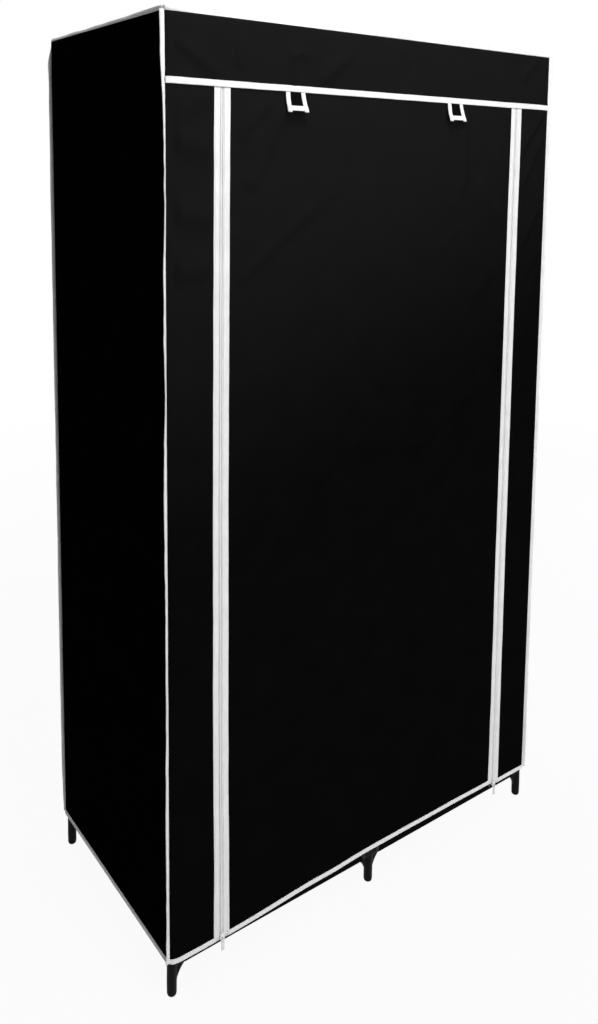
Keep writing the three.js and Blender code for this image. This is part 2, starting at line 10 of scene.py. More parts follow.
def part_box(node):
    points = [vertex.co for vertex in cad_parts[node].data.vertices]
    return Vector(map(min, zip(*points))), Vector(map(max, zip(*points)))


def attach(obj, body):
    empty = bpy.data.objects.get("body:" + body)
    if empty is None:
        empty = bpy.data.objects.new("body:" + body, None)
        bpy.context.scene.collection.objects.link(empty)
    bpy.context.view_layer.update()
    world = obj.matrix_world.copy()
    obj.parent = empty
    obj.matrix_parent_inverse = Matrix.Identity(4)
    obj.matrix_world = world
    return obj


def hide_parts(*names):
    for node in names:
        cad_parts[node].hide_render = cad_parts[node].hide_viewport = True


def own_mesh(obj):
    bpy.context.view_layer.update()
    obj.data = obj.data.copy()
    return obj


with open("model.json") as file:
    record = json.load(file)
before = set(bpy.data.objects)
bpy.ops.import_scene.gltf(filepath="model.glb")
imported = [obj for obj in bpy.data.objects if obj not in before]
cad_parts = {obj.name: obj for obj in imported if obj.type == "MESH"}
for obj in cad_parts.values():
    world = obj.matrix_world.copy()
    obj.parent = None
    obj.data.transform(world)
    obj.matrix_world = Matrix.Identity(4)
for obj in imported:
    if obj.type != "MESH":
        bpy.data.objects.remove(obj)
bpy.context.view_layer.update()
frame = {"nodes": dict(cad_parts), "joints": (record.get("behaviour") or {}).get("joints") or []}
scene = bpy.context.scene

MM = 0.001

# Camera: the photograph's viewpoint, and the row of the picture that the camera's axis meets
CAMERA_PLACE = Vector((-1.081, -1.438, 1.364))
CAMERA_YAW = -0.6315
CAMERA_PITCH = -0.1096
CAMERA_ROLL = 0.0102
FOCAL_PIXELS = 913
AXIS_ROW = 272
IMAGE_HEIGHT = 1024
SENSOR = 36


# Light. Each softbox has its place, what it aims at, its width, its height and its watts
SOFTBOXES = {
    "key": ((0.5, -2.1, 2.5), (0, -0.2, 1.3), 1.4, 0.9, 17),
    "front": ((0.05, -3.6, 0.7), (0, -0.2, 0.7), 2.2, 1.3, 67),
    "raking": ((-0.3, -0.8, 2.5), (0, -0.2, 1.2), 0.45, 0.25, 13),
    "right": ((2.6, 0.3, 1.1), (0.44, 0, 0.9), 0.8, 1.6, 22),
    "back": ((-0.6, 3.2, 2.4), (0, 0.2, 0.9), 1.8, 1.6, 64),
}
WHITE = (1, 1, 1, 1)
WORLD_FILL = 0.11
FLOOR_RADIUS = 40
FLOOR_SIDES = 64
FLOOR_COLOUR = (0.7, 0.7, 0.7, 1)
FLOOR_GLOW_NEAR = 0.94
FLOOR_NEAR = 1.0
FLOOR_FAR = 4.0


def make_camera():
    data = bpy.data.cameras.new("camera")
    data.sensor_width = SENSOR
    data.lens = FOCAL_PIXELS * SENSOR / IMAGE_HEIGHT
    data.shift_y = (AXIS_ROW - IMAGE_HEIGHT / 2) / IMAGE_HEIGHT
    camera = bpy.data.objects.new("camera", data)
    yaw = Matrix.Rotation(CAMERA_YAW, 4, "Z")
    pitch = Matrix.Rotation(math.pi / 2 + CAMERA_PITCH, 4, "X")
    roll = Matrix.Rotation(CAMERA_ROLL, 4, "Z")
    camera.matrix_world = Matrix.Translation(CAMERA_PLACE) @ yaw @ pitch @ roll
    scene.collection.objects.link(camera)
    scene.camera = camera


# Shader nodes
def add(tree, kind, inputs=(), **settings):
    """A new node. Inputs go by name or number, and take a value or another node's socket."""
    made = tree.nodes.new("ShaderNode" + kind)
    for name, value in settings.items():
        setattr(made, name, value)
    for socket, value in dict(inputs).items():
        if isinstance(value, bpy.types.NodeSocket):
            tree.links.new(value, made.inputs[socket])
        else:
            made.inputs[socket].default_value = value
    return made


def compute(tree, operation, *values):
    """Arithmetic on sockets and numbers."""
    return add(tree, "Math", dict(enumerate(values)), operation=operation).outputs[0]


def vector_math(tree, operation, *values):
    return add(tree, "VectorMath", dict(enumerate(values)), operation=operation).outputs


def ranged(tree, value, start, end, low, high, **settings):
    """Carries a value from one range over to another."""
    inputs = {"Value": value, "From Min": start, "From Max": end, "To Min": low, "To Max": high}
    return add(tree, "MapRange", inputs, **settings).outputs[0]


def seen_directly(tree):
    """1 for rays from the camera or off gloss or through glass, 0 for the light on the object."""
    path = add(tree, "LightPath").outputs
    seen = compute(tree, "MAXIMUM", path["Is Camera Ray"], path["Is Glossy Ray"])
    return compute(tree, "MAXIMUM", seen, path["Is Transmission Ray"])


def make_world():
    world = bpy.data.worlds.new("studio")
    world.use_nodes = True
    scene.world = world
    tree = world.node_tree
    tree.nodes.clear()
    fill = add(tree, "Background", {"Color": WHITE, "Strength": WORLD_FILL})
    white = add(tree, "Background", {"Color": WHITE, "Strength": 1})
    mix = add(tree, "MixShader", {0: seen_directly(tree), 1: fill.outputs[0], 2: white.outputs[0]})
    add(tree, "OutputWorld", {"Surface": mix.outputs[0]})


def make_floor():
    """A pale floor that glows white to the camera further off, and keeps the object's shadow."""
    material = bpy.data.materials.new("pale_floor")
    material.use_nodes = True
    tree = material.node_tree
    tree.nodes.clear()
    away = vector_math(tree, "LENGTH", solid_place(tree))["Value"]
    glow = ranged(
        tree, away, FLOOR_NEAR, FLOOR_FAR, FLOOR_GLOW_NEAR, 1, interpolation_type="SMOOTHSTEP",
    )
    share = compute(tree, "MULTIPLY", seen_directly(tree), glow)
    plain = add(tree, "BsdfDiffuse", {"Color": FLOOR_COLOUR})
    white = add(tree, "Emission", {"Color": WHITE, "Strength": 1})
    mix = add(tree, "MixShader", {0: share, 1: plain.outputs[0], 2: white.outputs[0]})
    add(tree, "OutputMaterial", {"Surface": mix.outputs[0]})
    mesh = bpy.data.meshes.new("floor")
    turns = [math.tau * side / FLOOR_SIDES for side in range(FLOOR_SIDES)]
    rim = [(FLOOR_RADIUS * math.cos(turn), FLOOR_RADIUS * math.sin(turn), 0) for turn in turns]
    mesh.from_pydata(rim, [], [range(FLOOR_SIDES)])
    mesh.materials.append(material)
    floor = bpy.data.objects.new("floor", mesh)
    scene.collection.objects.link(floor)


def make_lights():
    for name, (place, aim, width, height, watts) in SOFTBOXES.items():
        data = bpy.data.lights.new(name, "AREA")
        data.shape = "RECTANGLE"
        data.size = width
        data.size_y = height
        data.energy = watts
        light = bpy.data.objects.new(name, data)
        light.location = place
        light.rotation_euler = (Vector(aim) - Vector(place)).to_track_quat("-Z", "Y").to_euler()
        scene.collection.objects.link(light)


# Places on a material
def cloth_place(tree):
    """Where a point lies on its cloth, in metres across and along it."""
    return add(tree, "Attribute", attribute_name="weave").outputs["Vector"]


def solid_place(tree):
    return add(tree, "TexCoord").outputs["Object"]


def brushed_place(tree):
    """The place on a solid with its height shrunk, so that speckles turn into upright scratches."""
    return vector_math(tree, "MULTIPLY", solid_place(tree), (1, 1, SCRATCH_SHRINK))[0]


# Patterns on a material: each is a function that draws it at a place
SPECKLE_ROUGHNESS = 0.55
SCRATCH_SHRINK = 0.08


def speckles(size, detail=2.0):
    """Noise from 0 to 1 with features of the given size."""
    def draw(tree, place):
        inputs = {"Vector": place, "Scale": 1 / size, "Detail": detail, "Roughness": SPECKLE_ROUGHNESS}
        return add(tree, "TexNoise", inputs).outputs["Fac"]
    return draw


def wave_angles(tree, place, across, along):
    return vector_math(tree, "MULTIPLY", place, (math.tau / across, math.tau / along, 0))[0]


def dimples(across, along):
    """A lattice of dimples, with the given spacing across and along the cloth."""
    def draw(tree, place):
        sines = vector_math(tree, "SINE", wave_angles(tree, place, across, along))[0]
        parts = add(tree, "SeparateXYZ", {0: sines}).outputs
        return compute(tree, "MULTIPLY", parts[0], parts[1])
    return draw


def twill(spacing):
    """Slanting ribs, as in a woven tape."""
    def draw(tree, place):
        parts = add(tree, "SeparateXYZ", {0: wave_angles(tree, place, spacing, spacing)}).outputs
        return compute(tree, "SINE", compute(tree, "ADD", parts[0], parts[1]))
    return draw


# Materials
NOISE_LOW = 0.3
NOISE_HIGH = 0.7
# Painted light on the front: along this slant its colour goes over to a paler tone towards the upper left,
# and that tone varies a little
PAINTED_LIGHT_LOW = 0.82
PAINTED_LIGHT_HIGH = 1.46
PAINTED_LIGHT_SLANT = (-0.33, 1, 0)
PAINTED_LIGHT_PATCHES = 0.05


def grey(value, blue=1.0):
    return value, value, value * blue


def shades(tree, value, tones):
    """Mixes a dark and a pale colour by a noise."""
    ramp = add(tree, "ValToRGB", {"Fac": value})
    for element, position, tone in zip(ramp.color_ramp.elements, (NOISE_LOW, NOISE_HIGH), tones):
        element.position = position
        element.color = (*tone, 1)
    return ramp.outputs["Color"]


def painted_light_fade(tree, place, colour, painted_light_tones):
    """Painted light: goes over to a paler colour towards the upper left of the front, where more light
    falls on it.
    """
    up = vector_math(tree, "DOT_PRODUCT", place, PAINTED_LIGHT_SLANT)["Value"]
    share = ranged(tree, up, PAINTED_LIGHT_LOW, PAINTED_LIGHT_HIGH, 0, 1, interpolation_type="SMOOTHSTEP")
    return add(tree, "Mix", {"Factor": share, 6: colour, 7: painted_light_tones}, data_type="RGBA").outputs[2]


def make_material(name, specular, stains, tones, wear, rough, bumps, place=cloth_place, painted_light_tones=None):
    """A material: stains between two tones, a roughness that varies, and bumps with their depths."""
    material = bpy.data.materials.new(name)
    material.use_nodes = True
    tree = material.node_tree
    shader = tree.nodes["Principled BSDF"]
    shader.inputs["Specular IOR Level"].default_value = specular
    where = place(tree)
    patches = stains(tree, where)
    colour = shades(tree, patches, tones)
    # Painted light, where given: paler tones towards the upper left
    if painted_light_tones:
        colour = painted_light_fade(tree, where, colour, shades(tree, patches, painted_light_tones))
    tree.links.new(colour, shader.inputs["Base Color"])
    roughness = ranged(tree, wear(tree, where), NOISE_LOW, NOISE_HIGH, *rough)
    tree.links.new(roughness, shader.inputs["Roughness"])
    normal = {}
    for pattern, depth in bumps:
        inputs = {"Height": pattern(tree, where), "Distance": depth, "Strength": 1, **normal}
        normal = {"Normal": add(tree, "Bump", inputs).outputs["Normal"]}
    tree.links.new(normal["Normal"], shader.inputs["Normal"])
    return material


PRESSED = dimples(1.7 * MM, 1.3 * MM)
CLOTH_BLUE = 1.04


def black_cloth(name, dark, pale, painted_light_level=0):
    """Non-woven cloth: pressed dimples, loose fibres and a faint crinkle. A paler tone, where given, is
    painted light towards the front's upper left.
    """
    fibres = speckles(0.9 * MM, 4)
    tones = (grey(dark, CLOTH_BLUE), grey(pale, CLOTH_BLUE))
    # The paler tones of the painted light, a little apart
    painted_light_tones = [grey(painted_light_level * (1 + share), CLOTH_BLUE) for share in (-PAINTED_LIGHT_PATCHES, PAINTED_LIGHT_PATCHES)]
    return make_material(
        name, specular=0.0, stains=speckles(60 * MM, 3), tones=tones,
        wear=fibres, rough=(0.8, 0.95), painted_light_tones=painted_light_tones if painted_light_level else None,
        bumps=[(speckles(14 * MM, 3), 0.5 * MM), (PRESSED, 0.04 * MM), (fibres, 0.05 * MM)],
    )


def white_binding():
    """Folded non-woven tape, a little grubby in patches."""
    fibres = speckles(0.8 * MM, 4)
    return make_material(
        "white_nonwoven", specular=0.2, stains=speckles(25 * MM, 4), tones=(grey(0.73), grey(0.82)),
        wear=fibres, rough=(0.75, 0.92),
        bumps=[(speckles(5 * MM, 3), 0.3 * MM), (PRESSED, 0.08 * MM), (fibres, 0.05 * MM)],
    )


def white_tape():
    """Woven zip tape with slanting ribs."""
    return make_material(
        "white_zip_tape", specular=0.25, stains=speckles(30 * MM, 4), tones=(grey(0.72), grey(0.8)),
        wear=speckles(1.2 * MM), rough=(0.65, 0.85),
        bumps=[(speckles(8 * MM, 3), 0.25 * MM), (twill(0.9 * MM), 0.05 * MM)],
    )


# White nylon, paler than the tape: painted light against the shade among the coil's loops
def coil_nylon_painted_light():
    return make_material(
        "white_nylon", specular=0.4, stains=speckles(3 * MM), tones=(grey(0.84), grey(0.9)),
        wear=speckles(0.6 * MM), rough=(0.3, 0.45), bumps=[(speckles(0.3 * MM), 0.02 * MM)],
    )


def sewing_thread():
    """Twisted sewing thread."""
    return make_material(
        "white_thread", specular=0.3, stains=speckles(4 * MM), tones=(grey(0.68), grey(0.8)),
        wear=speckles(0.5 * MM), rough=(0.6, 0.8), bumps=[(twill(0.35 * MM), 0.03 * MM)],
    )


def black_paint():
    """Satin powder coat on the tubes, with a fine orange peel and rubbed patches."""
    rubbed = speckles(35 * MM, 4)
    return make_material(
        "black_powder_coat", specular=0.14, stains=rubbed, tones=(grey(0.0035, 1.03), grey(0.0065, 1.015)),
        wear=rubbed, rough=(0.32, 0.5), bumps=[(speckles(0.8 * MM), 0.03 * MM)], place=solid_place,
    )


def black_plastic():
    """Moulded plastic with a fine spark grain and faint scuffs."""
    scuffs = speckles(12 * MM, 5)
    return make_material(
        "black_moulding", specular=0.06, stains=scuffs, tones=(grey(0.0018, 1.05), grey(0.003, 1.03)),
        wear=scuffs, rough=(0.42, 0.6), bumps=[(speckles(0.5 * MM, 3), 0.05 * MM)], place=solid_place,
    )


def slider_enamel():
    """White gloss enamel on the zip sliders, a little grubby in small patches."""
    grime = speckles(2.5 * MM, 4)
    return make_material(
        "slider_enamel", specular=0.5, stains=grime, tones=(grey(0.7, 0.986), grey(0.8, 0.988)),
        wear=grime, rough=(0.22, 0.4), bumps=[(speckles(0.6 * MM), 0.02 * MM)], place=solid_place,
    )


def pull_enamel():
    """White enamel on the zip pulls, with fine scratches along them."""
    scratches = speckles(0.25 * MM, 3)
    return make_material(
        "pull_enamel", specular=0.5, stains=scratches, tones=(grey(0.68), grey(0.8, 0.988)),
        wear=scratches, rough=(0.24, 0.42), bumps=[(scratches, 0.01 * MM)], place=brushed_place,
    )


# The record's slot and the material of each finish
FINISHES = {
    "cloth": ("black_fabric", black_cloth("black_nonwoven", 0.0036, 0.005)),
    # The front's copy of the cloth: darker than the rest, as painted shade, and paler towards its upper
    # left, as painted light
    "front": ("black_fabric", black_cloth("black_nonwoven_front", 0.0024, 0.003, 0.0077)),
    # The left side's copy of the cloth, darker still: painted shade
    "side": ("black_fabric", black_cloth("black_nonwoven_side", 0.0012, 0.002)),
    "binding": ("white_binding", white_binding()),
    "thread": ("white_binding", sewing_thread()),
    "tape": ("zip_tape", white_tape()),
    # The coil's nylon, paled as painted light
    "coil": ("zip_tape", coil_nylon_painted_light()),
    "paint": ("black_tube", black_paint()),
    "plastic": ("black_plastic", black_plastic()),
    "enamel": ("slider_metal", slider_enamel()),
    "pull": ("pull_metal", pull_enamel()),
}


# Shapes: each is its points, its faces and each point's place on its cloth
UP = np.array((0.0, 0.0, 1.0))


def grid_faces(rows, columns):
    """Faces of a grid of points, seen counter-clockwise with columns to the right and rows up."""
    index = np.arange(rows * columns).reshape(rows, columns)
    corners = (index[:-1, :-1], index[:-1, 1:], index[1:, 1:], index[1:, :-1])
    return np.stack(corners, -1).reshape(-1, 4).tolist()


def distances(points):
    """How far along a line of points each one lies."""
    steps = np.linalg.norm(np.diff(points, axis=0), axis=1)
    return np.concatenate(([0], np.cumsum(steps)))


def skin(rings, capped=True):
    """A skin over rings of points, all with the same count, and capped at both ends."""
    rings = np.asarray(rings, float)
    count, sides = rings.shape[:2]
    index = np.arange(count * sides).reshape(count, sides)
    here = index[:-1]
    ahead = index[1:]
    corners = (here, np.roll(here, -1, 1), np.roll(ahead, -1, 1), ahead)
    faces = np.stack(corners, -1).reshape(-1, 4).tolist()
    if capped:
        faces.append(index[0][::-1].tolist())
        faces.append(index[-1].tolist())
    across = distances(rings[0])
    along = distances(rings.mean(axis=1))
    weave = np.zeros_like(rings)
    weave[..., 0] = across[None, :]
    weave[..., 1] = along[:, None]
    return rings.reshape(-1, 3), faces, weave.reshape(-1, 3)


def gathered(shapes):
    """Several shapes as one."""
    points, faces, weave = [], [], []
    start = 0
    for shape_points, shape_faces, shape_weave in shapes:
        points.append(np.asarray(shape_points, float).reshape(-1, 3))
        weave.append(np.asarray(shape_weave, float).reshape(-1, 3))
        faces += [[start + corner for corner in face] for face in shape_faces]
        start += len(points[-1])
    return np.concatenate(points), faces, np.concatenate(weave)


def face_outward(mesh):
    shape = bmesh.new()
    shape.from_mesh(mesh)
    bmesh.ops.recalc_face_normals(shape, faces=shape.faces)
    shape.to_mesh(mesh)
    shape.free()


def make_piece(name, shape, finish, body="root", replaces=None, closed=True):
    """A named piece of the object, in its finish, riding on a body."""
    points, faces, weave = shape
    slot, material = FINISHES[finish]
    mesh = bpy.data.meshes.new(name)
    mesh.from_pydata(np.asarray(points, float).tolist(), [], faces)
    if closed:
        face_outward(mesh)
    mesh.polygons.foreach_set("use_smooth", [True] * len(mesh.polygons))
    place = mesh.attributes.new("weave", "FLOAT_VECTOR", "POINT")
    place.data.foreach_set("vector", np.asarray(weave, np.float32).ravel())
    mesh.materials.append(material)
    piece = bpy.data.objects.new(name, mesh)
    scene.collection.objects.link(piece)
    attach(piece, body)
    if replaces:
        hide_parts(replaces)
    return piece


CLOTH = 0.8 * MM


def grid(x, y, z, across, along):
    """The shape of a sheet, from the places of its points and their places on the flat cloth."""
    points = np.stack(np.broadcast_arrays(x, y, z), -1).reshape(-1, 3)
    weave = np.stack(np.broadcast_arrays(across, along, np.zeros_like(x)), -1)
    return points, grid_faces(*x.shape), weave.reshape(-1, 3)


def make_cloth(name, shape, node, finish="cloth", body="root", offset=-1):
    """A sheet of cloth with its thickness behind its face, or at offset 0 to both sides of it."""
    piece = make_piece(name, shape, finish, body, node, closed=False)
    modifier = piece.modifiers.new("thickness", "SOLIDIFY")
    modifier.thickness = CLOTH
    modifier.offset = offset
    return piece


# Places read from the frame
def low(node):
    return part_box(node)[0]


def high(node):
    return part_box(node)[1]


def middle(node):
    return (low(node) + high(node)) / 2


POST_X = middle("post_front_right").x
FRONT_Y = middle("post_front_centre").y
BACK_Y = middle("post_back_centre").y
TUBE_RADIUS = (high("post_front_centre").x - low("post_front_centre").x) / 2
CLOTH_FACE = high("side_panel_right").x - POST_X
COVER_WALL = 1 * MM
CLOTH_INNER = CLOTH_FACE - COVER_WALL
HEM_LOW = low("door_hem").z
SEWN_GAP = 0.3 * MM
VALANCE_LINE = high("door_panel").z + SEWN_GAP
VALANCE_TOP = low("valance_panel").z - SEWN_GAP
TOP = high("top_panel").z
ZIP_X = middle("zip_pull_right").x
TAPE_EDGE = high("zip_tape_fixed_right").x - ZIP_X
TAPE_FRONT = FRONT_Y - low("zip_tape_fixed_right").y
BOTTOM_RAIL = middle("bottom_rail_front_left").z
TOP_RAIL = middle("top_rail_front_left").z
JOINTS = {joint["name"]: joint for joint in frame["joints"]}

# The wall of cloth round the frame. The distance along it starts at the middle of the front
# and goes to the right, round the back, and home again.
QUARTER = math.pi / 2 * CLOTH_INNER
DEPTH = BACK_Y - FRONT_Y
RUNS = [
    ((0, FRONT_Y), (1, 0), (0, -1), POST_X),
    ((POST_X, FRONT_Y), (0, 1), (1, 0), DEPTH),
    ((POST_X, BACK_Y), (-1, 0), (0, 1), 2 * POST_X),
    ((-POST_X, BACK_Y), (0, -1), (-1, 0), DEPTH),
    ((-POST_X, FRONT_Y), (1, 0), (0, -1), POST_X),
]
WALL = sum(run[3] for run in RUNS) + 4 * QUARTER
SEAM_FRONT_RIGHT = POST_X + QUARTER / 2
SEAM_BACK_RIGHT = SEAM_FRONT_RIGHT + QUARTER + DEPTH
SEAM_BACK_LEFT = WALL - SEAM_BACK_RIGHT
SEAM_FRONT_LEFT = WALL - SEAM_FRONT_RIGHT


def wall_place(along):
    """The post axes' line and the outward direction at a distance along the wall."""
    left = along % WALL
    for start, heading, outward, length in RUNS:
        start, heading, outward = np.array(start), np.array(heading), np.array(outward)
        if left <= length:
            return start + heading * left, outward
        left -= length
        if left <= QUARTER:
            turn = left / CLOTH_INNER
            direction = outward * math.cos(turn) + heading * math.sin(turn)
            return start + heading * length, direction
        left -= QUARTER
    return np.array(RUNS[0][0]), np.array(RUNS[0][2])


def wall_columns(along):
    places = [wall_place(distance) for distance in along]
    return np.array([place[0] for place in places]), np.array([place[1] for place in places])


CORNER_DENSITY = 3
CORNER_STEPS = 4


def wall_lines(start, end, step):
    """Distances along the wall from start to end, closer together round the corners."""
    seams = (SEAM_FRONT_RIGHT, SEAM_BACK_RIGHT, SEAM_BACK_LEFT, SEAM_FRONT_LEFT)
    corners = [seam + whole_turn for seam in seams for whole_turn in (-WALL, 0, WALL)]
    edges = [seam + side * QUARTER / 2 for seam in corners for side in (-1, 1)]
    stops = [start] + sorted(edge for edge in edges if start < edge < end) + [end]
    lines = [start]
    for here, ahead in zip(stops, stops[1:]):
        centre = (here + ahead) / 2
        at_corner = any(abs(centre - seam) < QUARTER / 2 for seam in corners)
        density, least = (CORNER_DENSITY, CORNER_STEPS) if at_corner else (1, 1)
        count = max(least, round((ahead - here) * density / step))
        lines += np.linspace(here, ahead, count + 1)[1:].tolist()
    return np.array(lines)


# Folds
FOLD_DEPTH = 2.6
WOBBLE_SLANT = 0.37


def smooth_step(value, reach):
    share = np.clip(value / reach, 0, 1)
    return share * share * (3 - 2 * share)


def crumple(across, up, size, seed):
    """Smooth noise from 0 to 1, with features of the given size across and up."""
    pairs = zip(np.ravel(across), np.ravel(up))
    values = [noise.noise(Vector((a / size[0], b / size[1], seed))) for a, b in pairs]
    return (np.array(values).reshape(np.shape(across)) + 1) / 2


def wobble(distance, size, seed):
    """Smooth noise from -1 to 1 along a line."""
    slant = seed * WOBBLE_SLANT
    values = [noise.noise(Vector((value / size, seed, slant))) for value in np.ravel(distance)]
    return np.array(values).reshape(np.shape(distance))


def ridges(folds, across, up, power=2):
    """The sum of ridges, each from one place to another. A power of 1 gives a sharp crest."""
    total = np.zeros_like(across)
    for x0, z0, x1, z1, lift, spread in folds:
        run = np.array((x1 - x0, z1 - z0)) * MM
        right = across - x0 * MM
        above = up - z0 * MM
        share = np.clip((right * run[0] + above * run[1]) / (run @ run), 0, 1)
        away = np.hypot(right - share * run[0], above - share * run[1]) / (spread * MM)
        total += FOLD_DEPTH * lift * MM * np.exp(-away ** power)
    return total


# Folds in millimetres: from x, z to x, z, then the lift and the spread
DOOR_FOLDS = [
    (-322, 1183, -176, 1296, 2.8, 10),
    (-176, 1296, -100, 1340, 1.2, 14),
    (-225, 1460, -285, 1345, 2.6, 11),
    (-243, 1486, -307, 1420, 2.4, 10),
    (190, 1488, 190, 1333, 2.6, 10),
    (245, 1344, 262, 1288, 2.2, 11),
    (175, 1259, 150, 1230, 1.6, 13),
    (267, 1165, 240, 1140, 1.6, 13),
    (-216, 842, -144, 842, 1.6, 16),
    (-144, 842, -62, 885, 1.8, 16),
    (-62, 885, 85, 861, 2.0, 18),
    (85, 861, 206, 927, 1.8, 16),
    (206, 927, 301, 971, 1.6, 16),
    (-183, 849, -149, 854, 1.2, 7),
    (-72, 884, -41, 900, 1.2, 7),
    (-290, 330, -120, 480, 1.4, 40),
    (120, 420, 290, 300, 1.6, 44),
]
LEFT_STRIP_FOLDS = [
    (-425, 1412, -355, 1398, 2.8, 22),
    (-425, 1302, -355, 1292, 3.2, 21),
    (-425, 1208, -355, 1219, 3.2, 19),
    (-415, 1450, -365, 1474, 1.4, 14),
    (-400, 760, -372, 700, 1.2, 26),
]
RIGHT_STRIP_FOLDS = [
    (360, 1418, 424, 1499, 2.4, 9),
    (363, 1351, 418, 1447, 2.6, 9),
    (367, 1231, 423, 1321, 2.4, 10),
    (379, 1164, 407, 1200, 1.6, 10),
    (372, 980, 415, 900, 1.2, 22),
]
VALANCE_FOLDS = [
    (-408, 1550, -354, 1517, 1.8, 12),
    (-140, 1520, -94, 1557, 2.2, 13),
    (31, 1578, 46, 1559, 1.4, 9),
    (120, 1530, 180, 1540, 1.2, 20),
    (355, 1555, 390, 1586, 1.8, 11),
]
VALANCE_CREASES = [
    (-308, 1529, -307, 1568, 1.6, 5),
    (-202, 1507, -203, 1550, 1.8, 5),
    (-203, 1550, -188, 1556, 1.2, 5),
    (-188, 1556, -180, 1546, 1.0, 5),
]

# Cover cloth
UNDER_HEM = 3 * MM
UNDER_VALANCE = 7 * MM
PANEL_GAP = 0.4 * MM
HELD = 30 * MM
HELD_NARROW = 16 * MM
HELD_WALL = 40 * MM
WALL_LOW = HEM_LOW + UNDER_HEM
WALL_HIGH = TOP - PANEL_GAP


def uneven(layers, across, up):
    """The sum of layers of noise: each has its height, its size across and up, and its seed."""
    return sum(height * crumple(across, up, size, seed) for height, size, seed in layers)


def cover_panel(name, node, finish, along, up, lift):
    """A panel of the cover: a fine grid on the wall of cloth, lifted into folds."""
    base, outward = wall_columns(along)
    across, height = np.meshgrid(along, up)
    out = CLOTH_FACE + lift(across, height)
    x = base[:, 0] + outward[:, 0] * out
    y = base[:, 1] + outward[:, 1] * out
    piece = make_cloth(name, grid(x, y, height + hem_pull(across, height), across, height), node, finish)
    return piece


def levels(start, end, step):
    return np.linspace(start, end, max(2, round((end - start) / step)) + 1)


def edge_hold(across, up, sides, ends, reach=HELD):
    """0 at a panel's edges and 1 away from them."""
    edge = np.minimum(across - sides[0], sides[1] - across)
    edge = np.minimum(edge, np.minimum(up - ends[0], ends[1] - up))
    return smooth_step(edge, reach)


# The door: its edges, its unevenness, the calm stretch over its hem, and the waves that its cloth
# keeps from being rolled up
DOOR_INSET = 5.5 * MM
DOOR_HALF = ZIP_X - DOOR_INSET
DOOR_FREE = ZIP_X - TAPE_EDGE
DOOR_SOFT = [(2.0 * MM, (0.24, 0.34), 1.3), (0.5 * MM, (0.09, 0.06), 4.1)]
DOOR_LIFT_MOST = 9 * MM
DOOR_CALM = 0.12
DOOR_CALM_FADE = 0.1
MEMORY_PITCH = 45 * MM
MEMORY_LIFT = 0.18 * MM
MEMORY_WANDER = [(3, (0.4, 0.3), 7)]


def door_lift(across, up):
    held = edge_hold(across, up, (-DOOR_FREE, DOOR_FREE), (WALL_LOW, VALANCE_LINE))
    held = held * smooth_step(up - WALL_LOW - DOOR_CALM, DOOR_CALM_FADE)
    folds = ridges(DOOR_FOLDS, across, up) + uneven(DOOR_SOFT, across, up)
    turn = math.tau * up / MEMORY_PITCH + uneven(MEMORY_WANDER, across, up)
    return held * (DOOR_LIFT_MOST * np.tanh(folds / DOOR_LIFT_MOST) + MEMORY_LIFT * (1 + np.sin(turn)))


STRIP_FREE = ZIP_X + TAPE_EDGE
STRIP_TUCK = 9 * MM
STRIP_SOFT = (1.6 * MM, (0.08, 0.11))


def strip_lift(folds, inner, seed):
    outer = math.copysign(POST_X, inner)
    sides = (min(inner, outer), max(inner, outer))

    def lift(across, up):
        held = edge_hold(across, up, sides, (WALL_LOW, VALANCE_LINE), HELD_NARROW)
        return held * (ridges(folds, across, up) + uneven([(*STRIP_SOFT, seed)], across, up))
    return lift


VALANCE_SOFT = [(1.5 * MM, (0.09, 0.06), 2.2)]
OVER_DOOR = 1.0 * MM
OVER_DOOR_FADE = 24 * MM


def valance_lift(across, up):
    held = edge_hold(across, up, (-POST_X, POST_X), (VALANCE_LINE, WALL_HIGH), HELD_NARROW)
    folds = ridges(VALANCE_FOLDS, across, up) + ridges(VALANCE_CREASES, across, up, 1)
    over_door = OVER_DOOR * (1 - smooth_step(up - VALANCE_LINE, OVER_DOOR_FADE))
    return held * (folds + uneven(VALANCE_SOFT, across, up)) + over_door


# The sides and the back: upright, broad and small waves, and a pull down from each top corner
WALL_WAVES = [(1.6, (0.07, 0.55), 0), (1.0, (0.2, 0.3), 3), (0.25, (0.06, 0.05), 9)]
PULL_LIFT = 2.2 * MM
PULL_SLOPE = 0.55
PULL_WIDTH = 22 * MM
PULL_LENGTH = 0.22


def wall_lift(start, end, seed, amount):
    layers = [(amount * share, size, seed + step) for share, size, step in WALL_WAVES]

    def lift(across, up):
        held = edge_hold(across, up, (start, end), (WALL_LOW, WALL_HIGH), HELD_WALL)
        below = WALL_HIGH - up
        aside = np.minimum(across - start, end - across) - below * PULL_SLOPE
        pull = np.exp(-(aside / PULL_WIDTH) ** 2) * np.exp(-below / PULL_LENGTH)
        return held * (uneven(layers, across, up) + PULL_LIFT * pull)
    return lift


# The grids of the cloth: fine in front, where the folds are, and coarser elsewhere
FINE_GRID = 5 * MM
NARROW_GRID = 3.5 * MM
WALL_GRID_ACROSS = 7 * MM
WALL_GRID_UP = 9 * MM
SHEET_GRID = 8 * MM
VALANCE_TUCK = 3 * MM


